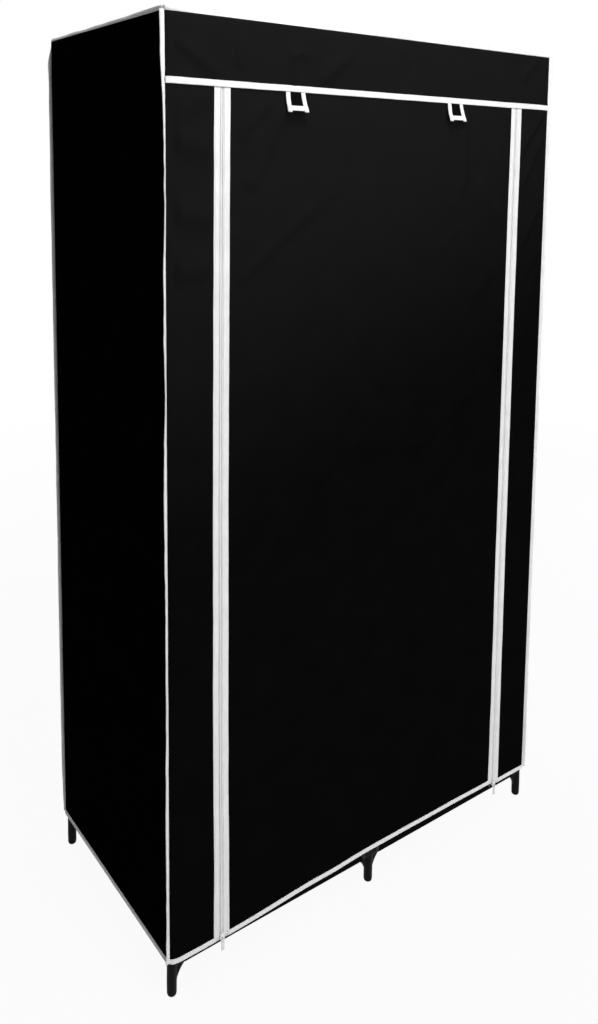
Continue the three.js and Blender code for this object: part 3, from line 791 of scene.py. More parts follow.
# The door, the strips and the valance are in the front's copy of the cloth, with painted shade and painted
# light in its colour
def front_panels(door_hem):
    up = levels(WALL_LOW, VALANCE_LINE + UNDER_VALANCE, FINE_GRID)
    across = levels(-DOOR_HALF, DOOR_HALF, FINE_GRID)
    door = cover_panel("door_cloth", "door_panel", "front", across, up, door_lift)
    fold_up(door, "door_panel")
    strip_end = SEAM_FRONT_RIGHT - PANEL_GAP
    right = wall_lines(STRIP_FREE - STRIP_TUCK, strip_end, NARROW_GRID)
    for side, across, inner, folds, seed in (
        ("right", right, STRIP_FREE, RIGHT_STRIP_FOLDS, 2.7),
        ("left", -right[::-1], -STRIP_FREE, LEFT_STRIP_FOLDS, 6.7),
    ):
        lift = strip_lift(folds, inner, seed)
        cover_panel("strip_cloth_" + side, "front_strip_" + side, "front", across, up, lift)
    across = wall_lines(-strip_end, strip_end, NARROW_GRID)
    up = levels(VALANCE_LINE + VALANCE_TUCK, WALL_HIGH, NARROW_GRID)
    cover_panel("valance_cloth", "valance_panel", "front", across, up, valance_lift)


def wall_panels():
    """The sides and the back. Each has its piece, its rail, its ends, its seed, its waves' lift and its
    finish; the left side's finish is a darker copy of the cloth, a painted shade.
    """
    up = levels(WALL_LOW, WALL_HIGH, WALL_GRID_UP)
    for name, rail, start, end, seed, amount, finish in (
        ("side_{}_right", "side_right", SEAM_FRONT_RIGHT, SEAM_BACK_RIGHT, 50.5, 3.2 * MM, "cloth"),
        ("back_{}", "back_left", SEAM_BACK_RIGHT, SEAM_BACK_LEFT, 60.5, 3.6 * MM, "cloth"),
        # The left side in the darker copy of the cloth: painted shade
        ("side_{}_left", "side_left", SEAM_BACK_LEFT, SEAM_FRONT_LEFT, 70.5, 2.0 * MM, "side"),
    ):
        start += PANEL_GAP
        end -= PANEL_GAP
        across = wall_lines(start, end, WALL_GRID_ACROSS)
        lift = wall_lift(start, end, seed, amount)
        piece, node = name.format("cloth"), name.format("panel")
        cover_panel(piece, node, finish, across, up, lift)


# The top sheet
RIM_STEPS = 5
TOP_SLACK = 0.15
TOP_SAG = 6.5 * MM
TOP_SAG_LEAST = 0.7
TOP_SAG_UNEVEN = [(0.5, (0.12, 0.1), 5.5)]
TOP_RIPPLES = [(1.6 * MM, (0.05, 0.09), 8.8)]
TOP_RIPPLE_MIDDLE = 0.8 * MM
TINY = 1e-9


def rounded_corners(x, y):
    """Draws a grid's corners in, past the axes of the corner posts, to a round outline."""
    past_x = np.maximum(np.abs(x) - POST_X, 0)
    past_y = np.maximum(np.abs(y) - DEPTH / 2, 0)
    reach = np.maximum(np.hypot(past_x, past_y), TINY)
    rounding = np.where((past_x > 0) & (past_y > 0), np.maximum(past_x, past_y) / reach, 1)
    round_x = np.sign(x) * (np.minimum(np.abs(x), POST_X) + past_x * rounding)
    round_y = np.sign(y) * (np.minimum(np.abs(y), DEPTH / 2) + past_y * rounding)
    return round_x, round_y


def top_panel():
    """The top sheet: held on the rails round it and across the middle, slack between them."""
    rim = CLOTH_FACE - PANEL_GAP
    border = np.linspace(0, rim, RIM_STEPS)[1:]
    lines = []
    for half in (POST_X, DEPTH / 2):
        lines.append(np.concatenate((-half - border[::-1], levels(-half, half, SHEET_GRID), half + border)))
    x, y = np.meshgrid(*lines)
    from_rails = np.minimum(np.minimum(np.abs(x), POST_X - np.abs(x)), DEPTH / 2 - np.abs(y))
    slack = smooth_step(from_rails - TUBE_RADIUS, TOP_SLACK)
    sag = TOP_SAG * (TOP_SAG_LEAST + uneven(TOP_SAG_UNEVEN, x, y))
    ripple = uneven(TOP_RIPPLES, x, y) - TOP_RIPPLE_MIDDLE
    round_x, round_y = rounded_corners(x, y)
    shape = grid(round_x, round_y + (FRONT_Y + BACK_Y) / 2, TOP + slack * (ripple - sag), x, y)
    piece = make_cloth("top_cloth", shape, "top_panel")


# Stitches: places along a thread, from -1 to 1, and shares of its thickness there
STITCH_STATIONS = [(-1, 0.3), (-0.7, 0.85), (0, 1), (0.7, 0.85), (1, 0.3)]
STITCH_SIDES = 6
STITCH_HALF = 1.5 * MM
STITCH_RADIUS = 0.3 * MM
STITCH_DIVE = 0.25 * MM


def stitches(centres, heads, outs):
    """A row of stitches: short threads that dive into the cloth at both ends."""
    rows = []
    for place, share in STITCH_STATIONS:
        for side in range(STITCH_SIDES):
            turn = math.tau * side / STITCH_SIDES
            out = STITCH_RADIUS * share * math.cos(turn) - STITCH_DIVE * place ** 2
            rows.append((place * STITCH_HALF, out, STITCH_RADIUS * share * math.sin(turn)))
    template = np.array(rows)
    axes = np.stack((heads, outs, np.cross(heads, outs)), 1)
    points = centres[:, None, :] + template @ axes
    one_faces = skin(template.reshape(len(STITCH_STATIONS), STITCH_SIDES, 3))[1]
    faces = []
    for number in range(len(centres)):
        faces += [[corner + len(template) * number for corner in face] for face in one_faces]
    return points.reshape(-1, 3), faces, np.tile(template, (len(centres), 1))


# Bindings sewn flat. The section's outline has shares of the tape's height and of its thickness
BAND_SECTION = [
    (0, 0.1), (0.0, 0.55), (0.05, 0.9), (0.13, 1), (0.4, 0.92), (0.7, 0.9),
    (0.78, 0.7), (0.84, 0.9), (0.94, 0.85), (1, 0.5), (1, 0.1), (0.5, 0),
]
BAND_THICKNESS = 1.5 * MM
BAND_GRID = 3.5 * MM
BAND_PUCKER = 0.12 * MM
BAND_PUCKER_PITCH = 6.3 * MM
BAND_STITCH_PITCH = 4.6 * MM
BAND_STITCH_UP = 0.78
BAND_STITCH_OUT = 0.78 * BAND_THICKNESS


def band(name, start, end, low_edge, high_edge, out, node="seam_bindings", body="root"):
    """A folded tape along the wall of cloth, with a row of stitches near its upper edge."""
    along = wall_lines(start, end, BAND_GRID)
    base, outward = wall_columns(along)
    bottom, top = low_edge(along), high_edge(along)
    thickness = BAND_THICKNESS + BAND_PUCKER * np.sin(math.tau * along / BAND_PUCKER_PITCH)
    rings = []
    for up_share, out_share in BAND_SECTION:
        flat = base + outward * (out + thickness * out_share)[:, None]
        rings.append(np.column_stack((flat, bottom + (top - bottom) * up_share)))
    tape = make_piece(name, skin(np.stack(rings, 1)), "binding", body, node)
    spots = np.arange(start + BAND_STITCH_PITCH, end - BAND_STITCH_PITCH / 2, BAND_STITCH_PITCH)
    base, outward = wall_columns(spots)
    rise = low_edge(spots) + (high_edge(spots) - low_edge(spots)) * BAND_STITCH_UP
    centres = np.column_stack((base + outward * (out + BAND_STITCH_OUT), rise))
    outs = np.column_stack((outward, np.zeros(len(spots))))
    heads = np.cross(UP, outs)
    make_piece(name + "_stitches", stitches(centres, heads, outs), "thread", body)
    return tape


def follow(places, distance):
    """A smooth value along a line, through a few chosen pairs of distance and value."""
    stops = np.array([place[0] for place in places])
    values = np.array([place[1] for place in places])
    spot = np.clip(np.searchsorted(stops, distance) - 1, 0, len(stops) - 2)
    share = smooth_step(distance - stops[spot], stops[spot + 1] - stops[spot])
    return values[spot] * (1 - share) + values[spot + 1] * share


# How far the hem lies above its place, in millimetres at places along the front
HEM_DIPS = [
    (-445, 5), (-415, 1), (-352, 0.6), (-322, 0.6), (-120, 7),
    (0, 10.5), (190, 10), (322, 8.5), (352, 2.5), (445, 2.5),
]
HEM_HEIGHT = 8.6 * MM
HEM_EASE = 70 * MM
# The waves of each edge: their height, their size along it and their seed
EDGE_WAVES = {
    "hem_low": (0.5 * MM, 0.045, 3.5),
    "hem_high": (0.35 * MM, 0.06, 7.5),
    "valance_low": (0.45 * MM, 0.05, 12.5),
    "valance_high": (0.3 * MM, 0.07, 15.5),
}


def edge_wave(edge, along):
    height, size, seed = EDGE_WAVES[edge]
    return height * wobble(along, size, seed)


def hem_dip(along):
    offset = np.where(along > WALL / 2, along - WALL, along)
    return follow([(place * MM, lift * MM) for place, lift in HEM_DIPS], offset)


def hem_pull(along, height):
    """How far the hem draws the cloth over it up or down."""
    return hem_dip(along) * (1 - smooth_step(height - HEM_LOW, HEM_EASE))


def hem_low(along):
    return HEM_LOW + hem_dip(along) + edge_wave("hem_low", along)


def hem_high(along):
    return hem_low(along) + HEM_HEIGHT + edge_wave("hem_high", along)


def valance_low(along):
    return VALANCE_LINE + edge_wave("valance_low", along)


def valance_high(along):
    return valance_low(along) + VALANCE_TOP - VALANCE_LINE + edge_wave("valance_high", along)


BAND_LIFT = 0.05 * MM
BAND_LAP = 4 * MM
VALANCE_TRIM = 1.5 * MM


def bands():
    """The hem's and the valance's bindings. It returns the door's hem, which goes up with the door."""
    out = CLOTH_FACE + BAND_LIFT
    fixed = STRIP_FREE - BAND_LAP
    band("hem_binding", fixed, WALL - fixed, hem_low, hem_high, out)
    ends = SEAM_FRONT_RIGHT - VALANCE_TRIM
    band("valance_binding", -ends, ends, valance_low, valance_high, CLOTH_FACE + OVER_DOOR)
    half = DOOR_FREE + BAND_LAP
    return band("door_hem_binding", -half, half, hem_low, hem_high, out, "door_hem", "door_bottom")


# A folded binding that stands out from a seam: shares of its width, and half its thickness there
FIN_SECTION = [
    (0, 0.5), (0.14, 0.8), (0.26, 0.62), (0.4, 0.95), (0.62, 1.2), (0.86, 1.15), (0.96, 0.8), (1, 0.3),
]
FIN_ROOT_LEAN = 0.45
# The corners' and the top's: the width, the share and the seed by which it varies, and the shakes,
# each with its angle, its size and its seed
CORNER_FINS = (7.8 * MM, 0.06, 4.5, [(9, 0.055, 6.5), (5, 0.017, 9.5)])
TOP_FINS = (7.4 * MM, 0.08, 17.5, [(12, 0.05, 11.5), (6, 0.016, 14.5)])
FIN_WIDTH_SIZE = 0.04
ROOT_SINK = 0.6 * MM


def fin_rings(roots, outward, aside, lean, width):
    """Rings of that binding. It leaves its seam outward and bends aside by the lean."""
    lean = lean[:, None]
    width = width[:, None]
    place = roots
    one_face, other_face = [], []
    reached = 0
    for share, half in FIN_SECTION:
        angle = lean * min(1, FIN_ROOT_LEAN + share)
        direction = np.cos(angle) * outward + np.sin(angle) * aside
        across = np.cos(angle) * aside - np.sin(angle) * outward
        place = place + direction * (share - reached) * width
        one_face.append(place + across * half * MM)
        other_face.append(place - across * half * MM)
        reached = share
    return np.stack(one_face + other_face[::-1], axis=1)


def fin_binding(name, spots, roots, outward, aside, leans, fins, seed):
    """A binding that leans as the chosen pairs say, and shakes a little on its way."""
    width, share, width_seed, shakes = fins
    lean = follow([(place * MM, math.radians(angle)) for place, angle in leans], spots)
    for angle, size, shake_seed in shakes:
        lean = lean + math.radians(angle) * wobble(spots, size, seed + shake_seed)
    widths = width * (1 + share * wobble(spots, FIN_WIDTH_SIZE, seed + width_seed))
    rings = fin_rings(roots, outward, aside, lean, widths)
    make_piece(name, skin(rings), "binding", replaces="seam_bindings")


# The corner bindings: how far each leans over, in degrees at heights in millimetres
CORNER_LEANS = {
    "front_left": (SEAM_FRONT_LEFT, [
        (50, -50), (91, -24), (188, -13), (382, -13), (577, -4), (722, -7), (819, -14), (916, -9),
        (1013, 9), (1110, -1), (1207, -2), (1304, 12), (1401, 8), (1450, 3), (1547, -43), (1600, -66),
    ]),
    "front_right": (SEAM_FRONT_RIGHT, [(50, 26), (100, 4), (300, 16), (800, 24), (1300, 12), (1600, 34)]),
    "back_left": (SEAM_BACK_LEFT, [(50, -30), (300, 34), (800, 40), (1300, 30), (1540, 42), (1600, -84)]),
    "back_right": (SEAM_BACK_RIGHT, [(50, 20), (400, -28), (900, 12), (1400, -22), (1600, 30)]),
}
CORNER_GRID = 4 * MM
CORNER_LOW = HEM_LOW + 5 * MM
CORNER_HIGH = TOP + 1.5 * MM
CORNER_SWAYS = [(0.7 * MM, 0.13, 2.5), (0.25 * MM, 0.03, 12.5)]


def corner_bindings():
    heights = levels(CORNER_LOW, CORNER_HIGH, CORNER_GRID)
    for seed, (where, (seam, leans)) in enumerate(CORNER_LEANS.items()):
        base, direction = wall_place(seam)
        outward = np.array((*direction, 0.0))
        aside = np.cross(UP, outward)
        root = base + direction * (CLOTH_FACE - ROOT_SINK)
        sway = sum(height * wobble(heights, size, seed + step) for height, size, step in CORNER_SWAYS)
        roots = np.column_stack((np.tile(root, (len(heights), 1)), heights)) + aside * sway[:, None]
        fin_binding("corner_binding_" + where, heights, roots, outward, aside, leans, CORNER_FINS, seed)


# The top bindings: how far each stands up, in degrees at millimetres along its edge
TOP_EDGES = {
    "front": (-SEAM_FRONT_RIGHT, SEAM_FRONT_RIGHT, [
        (-440, 84), (-408, 100), (-380, 158), (-170, 162), (-130, 128),
        (-20, 118), (60, 108), (150, 134), (300, 122), (440, 112),
    ]),
    "right": (SEAM_FRONT_RIGHT, SEAM_BACK_RIGHT, [(430, 100), (560, 140), (700, 118), (900, 130)]),
    "back": (SEAM_BACK_RIGHT, SEAM_BACK_LEFT, [
        (880, 120), (1100, 142), (1400, 112), (1600, 138), (1800, 124),
    ]),
    "left": (SEAM_BACK_LEFT, SEAM_FRONT_LEFT, [
        (1770, 152), (1900, 142), (2050, 126), (2120, 106), (2220, 92),
    ]),
}
TOP_GRID = 4 * MM


def top_bindings():
    for seed, (where, (start, end, rises)) in enumerate(TOP_EDGES.items()):
        along = wall_lines(start, end, TOP_GRID)
        base, direction = wall_columns(along)
        outward = np.column_stack((direction, np.zeros(len(along))))
        edge = base + direction * (CLOTH_FACE - ROOT_SINK)
        roots = np.column_stack((edge, np.full(len(along), TOP)))
        fin_binding("top_binding_" + where, along, roots, outward, UP, rises, TOP_FINS, seed)


# Zips. The section of one half: the distance from the coil's middle, and how far it stands
# in front of the cloth, in millimetres.
TAPE_SECTION = [
    (0.3, -1.0), (0.3, -0.5), (3.4, -0.45), (3.8, 0.7), (4.3, 1.1), (5.2, 1.15), (5.9, 0.85), (6.7, 0.82),
    (9.2, 0.95), (10.8, 0.85), (11.5, 0.6), (12.3, 0.85), (13.2, 1.05), (14.2, 0.95), (14.6, 0.6),
    (14.6, 0.15), (4.8, 0.15), (4.0, -1.0),
]
TAPE_GRID = 6 * MM
TAPE_LOOSE = 12
TAPE_WAVE = 0.4 * MM
TAPE_WAVE_SIZE = 0.05
# Each zip's place, the way to the door, its bow and its seed
ZIPS = {"left": (-ZIP_X, 1, -2.5 * MM, 24.5), "right": (ZIP_X, -1, -0.9 * MM, 21.5)}
ZIP_STRAIGHT = 20 * MM
ZIP_EASE_LOW = 0.25
ZIP_EASE_HIGH = 0.08
ZIP_WAVES = [(0.7 * MM, 0.24, 0), (0.35 * MM, 0.07, 5)]
ZIP_SPREAD = 0.9 * MM
ZIP_SPREAD_FADE = 0.14
ZIP_STITCH = 11.5 * MM
ZIP_STITCH_OUT = 0.72 * MM
ZIP_STITCH_END = 4 * MM
ZIP_STITCH_PITCH = 5 * MM


def zip_sway(height, side):
    """How far a zip strays from a straight line: one long bow, and smaller waves."""
    bow, seed = ZIPS[side][2:]
    start = smooth_step(height - HEM_LOW - ZIP_STRAIGHT, ZIP_EASE_LOW)
    end = smooth_step(VALANCE_LINE - height, ZIP_EASE_HIGH)
    bend = bow * np.sin(math.pi * (height - HEM_LOW) / (VALANCE_LINE - HEM_LOW))
    waves = sum(lift * wobble(height, size, seed + step) for lift, size, step in ZIP_WAVES)
    return start * end * (bend + waves)


def zip_half(side, part):
    """One half of a zip: its tape, its coil and the thread that sews it down."""
    zip_x, to_door, _, seed = ZIPS[side]
    heading = to_door if part == "door" else -to_door
    node = f"zip_tape_{part}_{side}"
    bottom, top = low(node).z, high(node).z
    heights = levels(bottom, top, TAPE_GRID)
    sway = zip_sway(heights, side)
    spread = ZIP_SPREAD * (1 - smooth_step(heights - bottom, ZIP_SPREAD_FADE))
    edge = spread + TAPE_WAVE * wobble(heights, TAPE_WAVE_SIZE, seed + heading)
    rings = []
    for reach, proud in TAPE_SECTION:
        x = zip_x + heading * (reach * MM + (edge if reach > TAPE_LOOSE else 0)) + sway
        y = np.full(len(x), FRONT_Y - CLOTH_FACE - proud * MM)
        rings.append(np.column_stack((x, y, heights + hem_pull(x, heights))))
    tape = make_piece(f"zip_tape_cloth_{part}_{side}", skin(np.stack(rings, 1)), "tape", replaces=node)
    coil = make_piece(f"zip_coil_{part}_{side}", coil_shape(side, part, heading, bottom, top), "coil")
    spots = np.arange(bottom + ZIP_STITCH_END, top - ZIP_STITCH_END, ZIP_STITCH_PITCH)
    x = zip_x + heading * ZIP_STITCH + zip_sway(spots, side)
    centres = np.column_stack((x, np.full(len(spots), FRONT_Y - CLOTH_FACE - ZIP_STITCH_OUT), spots))
    heads = np.tile(UP, (len(spots), 1))
    outs = np.tile((0.0, -1.0, 0.0), (len(spots), 1))
    sewing = make_piece(f"zip_stitches_{part}_{side}", stitches(centres, heads, outs), "thread")
    if part == "door":
        for piece in (tape, coil, sewing):
            fold_up(piece, node)


# The coils: how far the loops reach from the zip's middle. The fixed half's reach past it
COIL_INNER = {"door": 0.78 * MM, "fixed": -0.7 * MM}
COIL_OUTER = 3.5 * MM
COIL_PITCH = 1.5 * MM
COIL_STEPS = 8
COIL_SIDES = 4
COIL_WIRE = 0.48 * MM
COIL_DEPTH = 0.7 * MM
COIL_SINK = 1.1 * MM
COIL_END = 1 * MM


def coil_shape(side, part, heading, bottom, top):
    """A flattened nylon coil, half a turn from the other half's."""
    inner = COIL_INNER[part]
    half = (COIL_OUTER - inner) / 2 - COIL_WIRE
    centre = ZIPS[side][0] + heading * (COIL_OUTER + inner) / 2
    loops = int((top - bottom - 2 * COIL_END) / COIL_PITCH)
    turns = math.tau * np.arange(loops * COIL_STEPS + 1) / COIL_STEPS
    heights = bottom + COIL_END + COIL_PITCH * turns / math.tau
    phase = turns + (math.pi if part == "door" else 0)
    middle_y = FRONT_Y - TAPE_FRONT + COIL_SINK
    sway = zip_sway(heights, side)
    rings = []
    for number in range(COIL_SIDES):
        around = math.tau * number / COIL_SIDES
        swell = COIL_WIRE * math.cos(around)
        x = centre + heading * (half + swell) * np.cos(phase) + sway
        y = middle_y - (COIL_DEPTH - COIL_WIRE + swell) * np.sin(phase)
        rings.append(np.column_stack((x, y, heights + COIL_WIRE * math.sin(around))))
    return skin(np.stack(rings, 1))


def fold_up(piece, node):
    """A part of the door, given a mesh of its own. Its length below the valance's anchor is worked out but
    not used, and nothing folds it.
    """
    anchor = JOINTS["door_roll_up"]["deforming_nodes"][0]["fixed_end_z_m"]
    length = anchor - low(node).z
    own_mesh(piece)


# Ties
TIE_TILT = math.radians(16.5)
TIE_LENGTH = 31.5 * MM
TIE_LEG = 34 * MM
TIE_SHORTER = 0.7 * MM
TIE_START = 0.3 * MM
TIE_BAR = 8.5 * MM
TIE_BAR_INSET = 0.8 * MM
TIE_BAR_OUT = 0.5 * MM
TIE_FLARE = 1.8 * MM
TIE_THICKNESS = 2.2 * MM
TIE_MARGIN = 1 * MM
TIE_FACE = 0.4 * MM
TIE_CURL = 1.2 * MM
TIE_GRID = 3 * MM
TIE_WAVE_SIZE = 0.02
TIE_LEG_WAVE = 0.25 * MM
TIE_BAR_WAVE = 0.2 * MM
# The section of a flat strip: shares of its half width and of its half thickness
FLAT_SECTION = [
    (-1, -0.3), (-0.9, -0.85), (-0.6, -1), (0.6, -1), (0.9, -0.85), (1, -0.3),
    (1, 0.3), (0.9, 0.85), (0.6, 1), (-0.6, 1), (-0.9, 0.85), (-1, 0.3),
]


def tie_point(pivot, across, down, out):
    """A place on a tab: across it, down it, and out from its face. It curls up a little."""
    lifted = out - TIE_CURL * math.sin(math.pi * down / TIE_LENGTH)
    y = -lifted * math.cos(TIE_TILT) - down * math.sin(TIE_TILT)
    z = lifted * math.sin(TIE_TILT) - down * math.cos(TIE_TILT)
    return pivot[0] + across, pivot[1] + y, pivot[2] + z


def flat_strip(pivot, centres, heading_down, out):
    """A strip of folded binding on a tab, through places given across and down."""
    rings = []
    for across, down in centres:
        ring = []
        for wide, thick in FLAT_SECTION:
            side = wide * TIE_BAR / 2
            where = (across + side, down) if heading_down else (across, down + side)
            ring.append(tie_point(pivot, *where, out + thick * TIE_THICKNESS / 2))
        rings.append(ring)
    return skin(rings)


def tie_cloth(side, pivot, half):
    """The cloth of a tab, between its two bound legs."""
    inset = half - TIE_MARGIN - TIE_FLARE
    columns = levels(-inset, inset, TIE_GRID)
    rows = levels(0, TIE_LENGTH - TIE_MARGIN, TIE_GRID)
    across, down = np.meshgrid(columns, rows)
    places = zip(across.ravel(), down.ravel())
    points = [tie_point(pivot, x, TIE_LENGTH - TIE_MARGIN - up, TIE_FACE) for x, up in places]
    x, y, z = np.array(points).T.reshape(3, *across.shape)
    shape = grid(x, y, z, across, down)
    return make_cloth("tie_cloth_" + side, shape, "tie_tab_" + side, body="tie_" + side)


def tie_binding(side, pivot, half):
    """The bindings of a tab: a leg down each side, and a bar across its lower end."""
    strips = []
    for sign, length in ((-1, TIE_LEG), (1, TIE_LEG - TIE_SHORTER)):
        leg = levels(TIE_START, length, TIE_GRID)
        drift = TIE_LEG_WAVE * wobble(leg, TIE_WAVE_SIZE, sign + 30.5)
        inset = half - TIE_BAR / 2 - TIE_FLARE * (1 - leg / TIE_LEG)
        strips.append(flat_strip(pivot, zip(sign * inset + drift, leg), True, 0))
    bar = levels(TIE_BAR_INSET - half, half - TIE_BAR_INSET, TIE_GRID)
    down = TIE_LENGTH - TIE_BAR / 2 + TIE_BAR_WAVE * wobble(bar, TIE_WAVE_SIZE, 33.5)
    strips.append(flat_strip(pivot, zip(bar, down), False, TIE_BAR_OUT))
    return make_piece("tie_binding_" + side, gathered(strips), "binding", "tie_" + side, "tie_tab_" + side)


def tie_tab(side):
    pivot = JOINTS["tie_swing_" + side]["pos_m"]
    half = (high("tie_tab_" + side).x - low("tie_tab_" + side).x) / 2
    cloth = tie_cloth(side, pivot, half)
    binding = tie_binding(side, pivot, half)


# Frame: tubes
ROUND = 32
TUBE_WALL = 0.8 * MM
TUBE_EDGE = 0.25 * MM
# A swage: places along the tube, and how far its wall goes in there
SWAGE_OUTLINE = [(-1.6 * MM, 0), (-0.5 * MM, 0.45 * MM), (0.3 * MM, 0.45 * MM), (0.9 * MM, 0)]


def turned(profile, axis, start, closed=False):
    """A profile of radius and height turned round an axis through the start."""
    axis = Vector(axis).normalized()
    side = axis.orthogonal().normalized()
    other = axis.cross(side)
    rings = []
    for radius, height in profile:
        ring = []
        for step in range(ROUND):
            turn = math.tau * step / ROUND
            direction = side * math.cos(turn) + other * math.sin(turn)
            ring.append(Vector(start) + axis * height + direction * radius)
        rings.append(ring)
    if closed:
        rings.append(rings[0])
    return skin(rings, capped=not closed)


def tube_profile(length, swages=()):
    outer = TUBE_RADIUS
    inner = TUBE_RADIUS - TUBE_WALL
    profile = [(inner, 0), (outer - TUBE_EDGE, 0), (outer, TUBE_EDGE)]
    for height in swages:
        profile += [(outer - depth, height + place) for place, depth in SWAGE_OUTLINE]
    return profile + [(outer, length - TUBE_EDGE), (outer - TUBE_EDGE, length), (inner, length)]


def tube(start, length):
    """A tube along X."""
    return turned(tube_profile(length), (1, 0, 0), start, closed=True)


def tube_along(name, node, swages=()):
    """A tube where a straight CAD tube lies."""
    lowest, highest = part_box(node)
    size = highest - lowest
    long_axis = max(range(3), key=lambda number: size[number])
    start = (lowest + highest) / 2
    start[long_axis] = lowest[long_axis]
    axis = Vector((0, 0, 0))
    axis[long_axis] = 1
    heights = [height - lowest[long_axis] for height in swages]
    shape = turned(tube_profile(size[long_axis], heights), axis, start, closed=True)
    make_piece(name, shape, "paint", replaces=node)


def tubes():
    shelf_levels = [middle("shelf_rail_lower_front").z, middle("shelf_rail_upper_front").z]
    for node in sorted(frame["nodes"]):
        if node.startswith("post_"):
            tube_along("tube_" + node, node, shelf_levels)
        if node.startswith(("bottom_rail_", "top_rail_")):
            tube_along("tube_" + node, node)


RING_OUTER = 9.6 * MM
RING_INNER = TUBE_RADIUS + 0.3 * MM
RING_HALF = 10 * MM
RING_EDGE = 0.5 * MM
RING_BITE = 0.6 * MM


def shelf_rails():
    """The shelves' rails, each with a ring round the posts at its ends."""
    half_ring = [
        (RING_INNER, RING_HALF), (RING_OUTER - RING_EDGE, RING_HALF), (RING_OUTER, RING_HALF - RING_EDGE),
        (RING_OUTER, RING_HALF - 2 * RING_EDGE),
    ]
    profile = [(radius, -height) for radius, height in half_ring] + half_ring[::-1]
    for node in sorted(name for name in frame["nodes"] if name.startswith("shelf_rail_")):
        y, z = middle(node)[1:]
        reach = RING_OUTER - RING_BITE
        parts = [tube((reach, y, z), POST_X - 2 * reach)]
        for x in (0, POST_X):
            parts.append(turned(profile, UP, (x, y, z), closed=True))
        make_piece("tube_" + node, gathered(parts), "paint", replaces=node)


# Frame: moulded pieces
MOULD_GRAIN = 0.9 * MM
MOULD_ROUNDS = 7
MOULD_EASE = 0.5


def moulded(name, shapes, finish, replaces=()):
    """Closed shapes melted into one moulding, with its edges and inner corners rounded."""
    points, faces, _ = gathered(shapes)
    mesh = bpy.data.meshes.new(name + "_rough")
    mesh.from_pydata(points.tolist(), [], faces)
    face_outward(mesh)
    rough = bpy.data.objects.new(name + "_rough", mesh)
    scene.collection.objects.link(rough)
    melt = rough.modifiers.new("melt", "REMESH")
    melt.mode = "VOXEL"
    melt.voxel_size = MOULD_GRAIN
    ease = rough.modifiers.new("ease", "SMOOTH")
    ease.factor = MOULD_EASE
    ease.iterations = MOULD_ROUNDS
    depsgraph = bpy.context.evaluated_depsgraph_get()
    done = bpy.data.meshes.new_from_object(rough.evaluated_get(depsgraph))
    bpy.data.objects.remove(rough)
    new_points = np.array([vertex.co for vertex in done.vertices])
    new_faces = [list(polygon.vertices) for polygon in done.polygons]
    bpy.data.meshes.remove(done)
    return make_piece(name, (new_points, new_faces, new_points), finish, replaces=replaces)


def rod(start, axis, length, radius):
    return turned([(radius, 0), (radius, length)], axis, start)


def slab(outline, y, thickness):
    """A flat outline in X and Z with a thickness along Y."""
    front = [(x, y - thickness / 2, z) for x, z in outline]
    back = [(x, y + thickness / 2, z) for x, z in outline]
    return skin([front, back])


HUB = 13 * MM
GUSSET_REACH = 17 * MM
GUSSET_DROP = 26 * MM
GUSSET_WIDTH = 6.4 * MM
GUSSET_HOLLOW = 0.08
GUSSET_ROOT = 4 * MM
GUSSET_STEPS = 10
FOOT_RADIUS = 8.5 * MM
# The rounded ends of the feet and of the heads: a radius, and a height from the floor or the top rail
FOOT_ROUND = [(5.4 * MM, 0), (7.1 * MM, 0.7 * MM), (7.9 * MM, 2.2 * MM), (8.3 * MM, 4.5 * MM)]
HEAD_ROUND = [(TUBE_RADIUS, 4 * MM), (5.5 * MM, 8 * MM)]


def gusset(x, y, side, top):
    """The curved web between a foot and the rail beside it."""
    outline = [(0, GUSSET_ROOT), (TUBE_RADIUS + GUSSET_REACH, GUSSET_ROOT)]
    for step in range(GUSSET_STEPS + 1):
        share = step / GUSSET_STEPS
        hollow = GUSSET_HOLLOW * math.sin(math.pi * share)
        reach = TUBE_RADIUS + GUSSET_REACH * (1 - share - hollow)
        outline.append((reach, -GUSSET_DROP * (share - hollow)))
    outline.append((0, -GUSSET_DROP))
    return slab([(x + side * reach, top + rise) for reach, rise in outline], y, GUSSET_WIDTH)


def hub(profile, x, y, z, ahead, sides):
    """An upright stem, with a stub for each rail that meets it at the height z."""
    shapes = [turned(profile, UP, (x, y, 0)), rod((x, y, z), (0, ahead, 0), HUB, TUBE_RADIUS)]
    for side in sides:
        shapes.append(rod((x, y, z), (side, 0, 0), HUB, TUBE_RADIUS))
    return shapes


def connectors():
    foot_top = BOTTOM_RAIL - TUBE_RADIUS
    foot_profile = FOOT_ROUND + [(FOOT_RADIUS, foot_top - GUSSET_DROP)]
    foot_profile += [(TUBE_RADIUS, BOTTOM_RAIL), (TUBE_RADIUS, BOTTOM_RAIL + HUB)]
    head_profile = [(TUBE_RADIUS, TOP_RAIL - HUB)]
    head_profile += [(radius, TOP_RAIL + rise) for radius, rise in HEAD_ROUND]
    for row, y, ahead in (("front", FRONT_Y, 1), ("back", BACK_Y, -1)):
        for column, x, sides in (("left", -POST_X, (1,)), ("centre", 0, (-1, 1)), ("right", POST_X, (-1,))):
            foot = hub(foot_profile, x, y, BOTTOM_RAIL, ahead, sides)
            foot += [gusset(x, y, side, foot_top) for side in sides]
            head = hub(head_profile, x, y, TOP_RAIL, ahead, sides)
            where = row + "_" + column
            moulded("moulded_foot_" + where, foot, "plastic", "foot_connector_" + where)
            moulded("moulded_head_" + where, head, "plastic", "top_connector_" + where)


def box_shape(lowest, highest):
    (x0, y0, z0), (x1, y1, z1) = lowest, highest
    return slab([(x0, z0), (x1, z0), (x1, z1), (x0, z1)], (y0 + y1) / 2, y1 - y0)


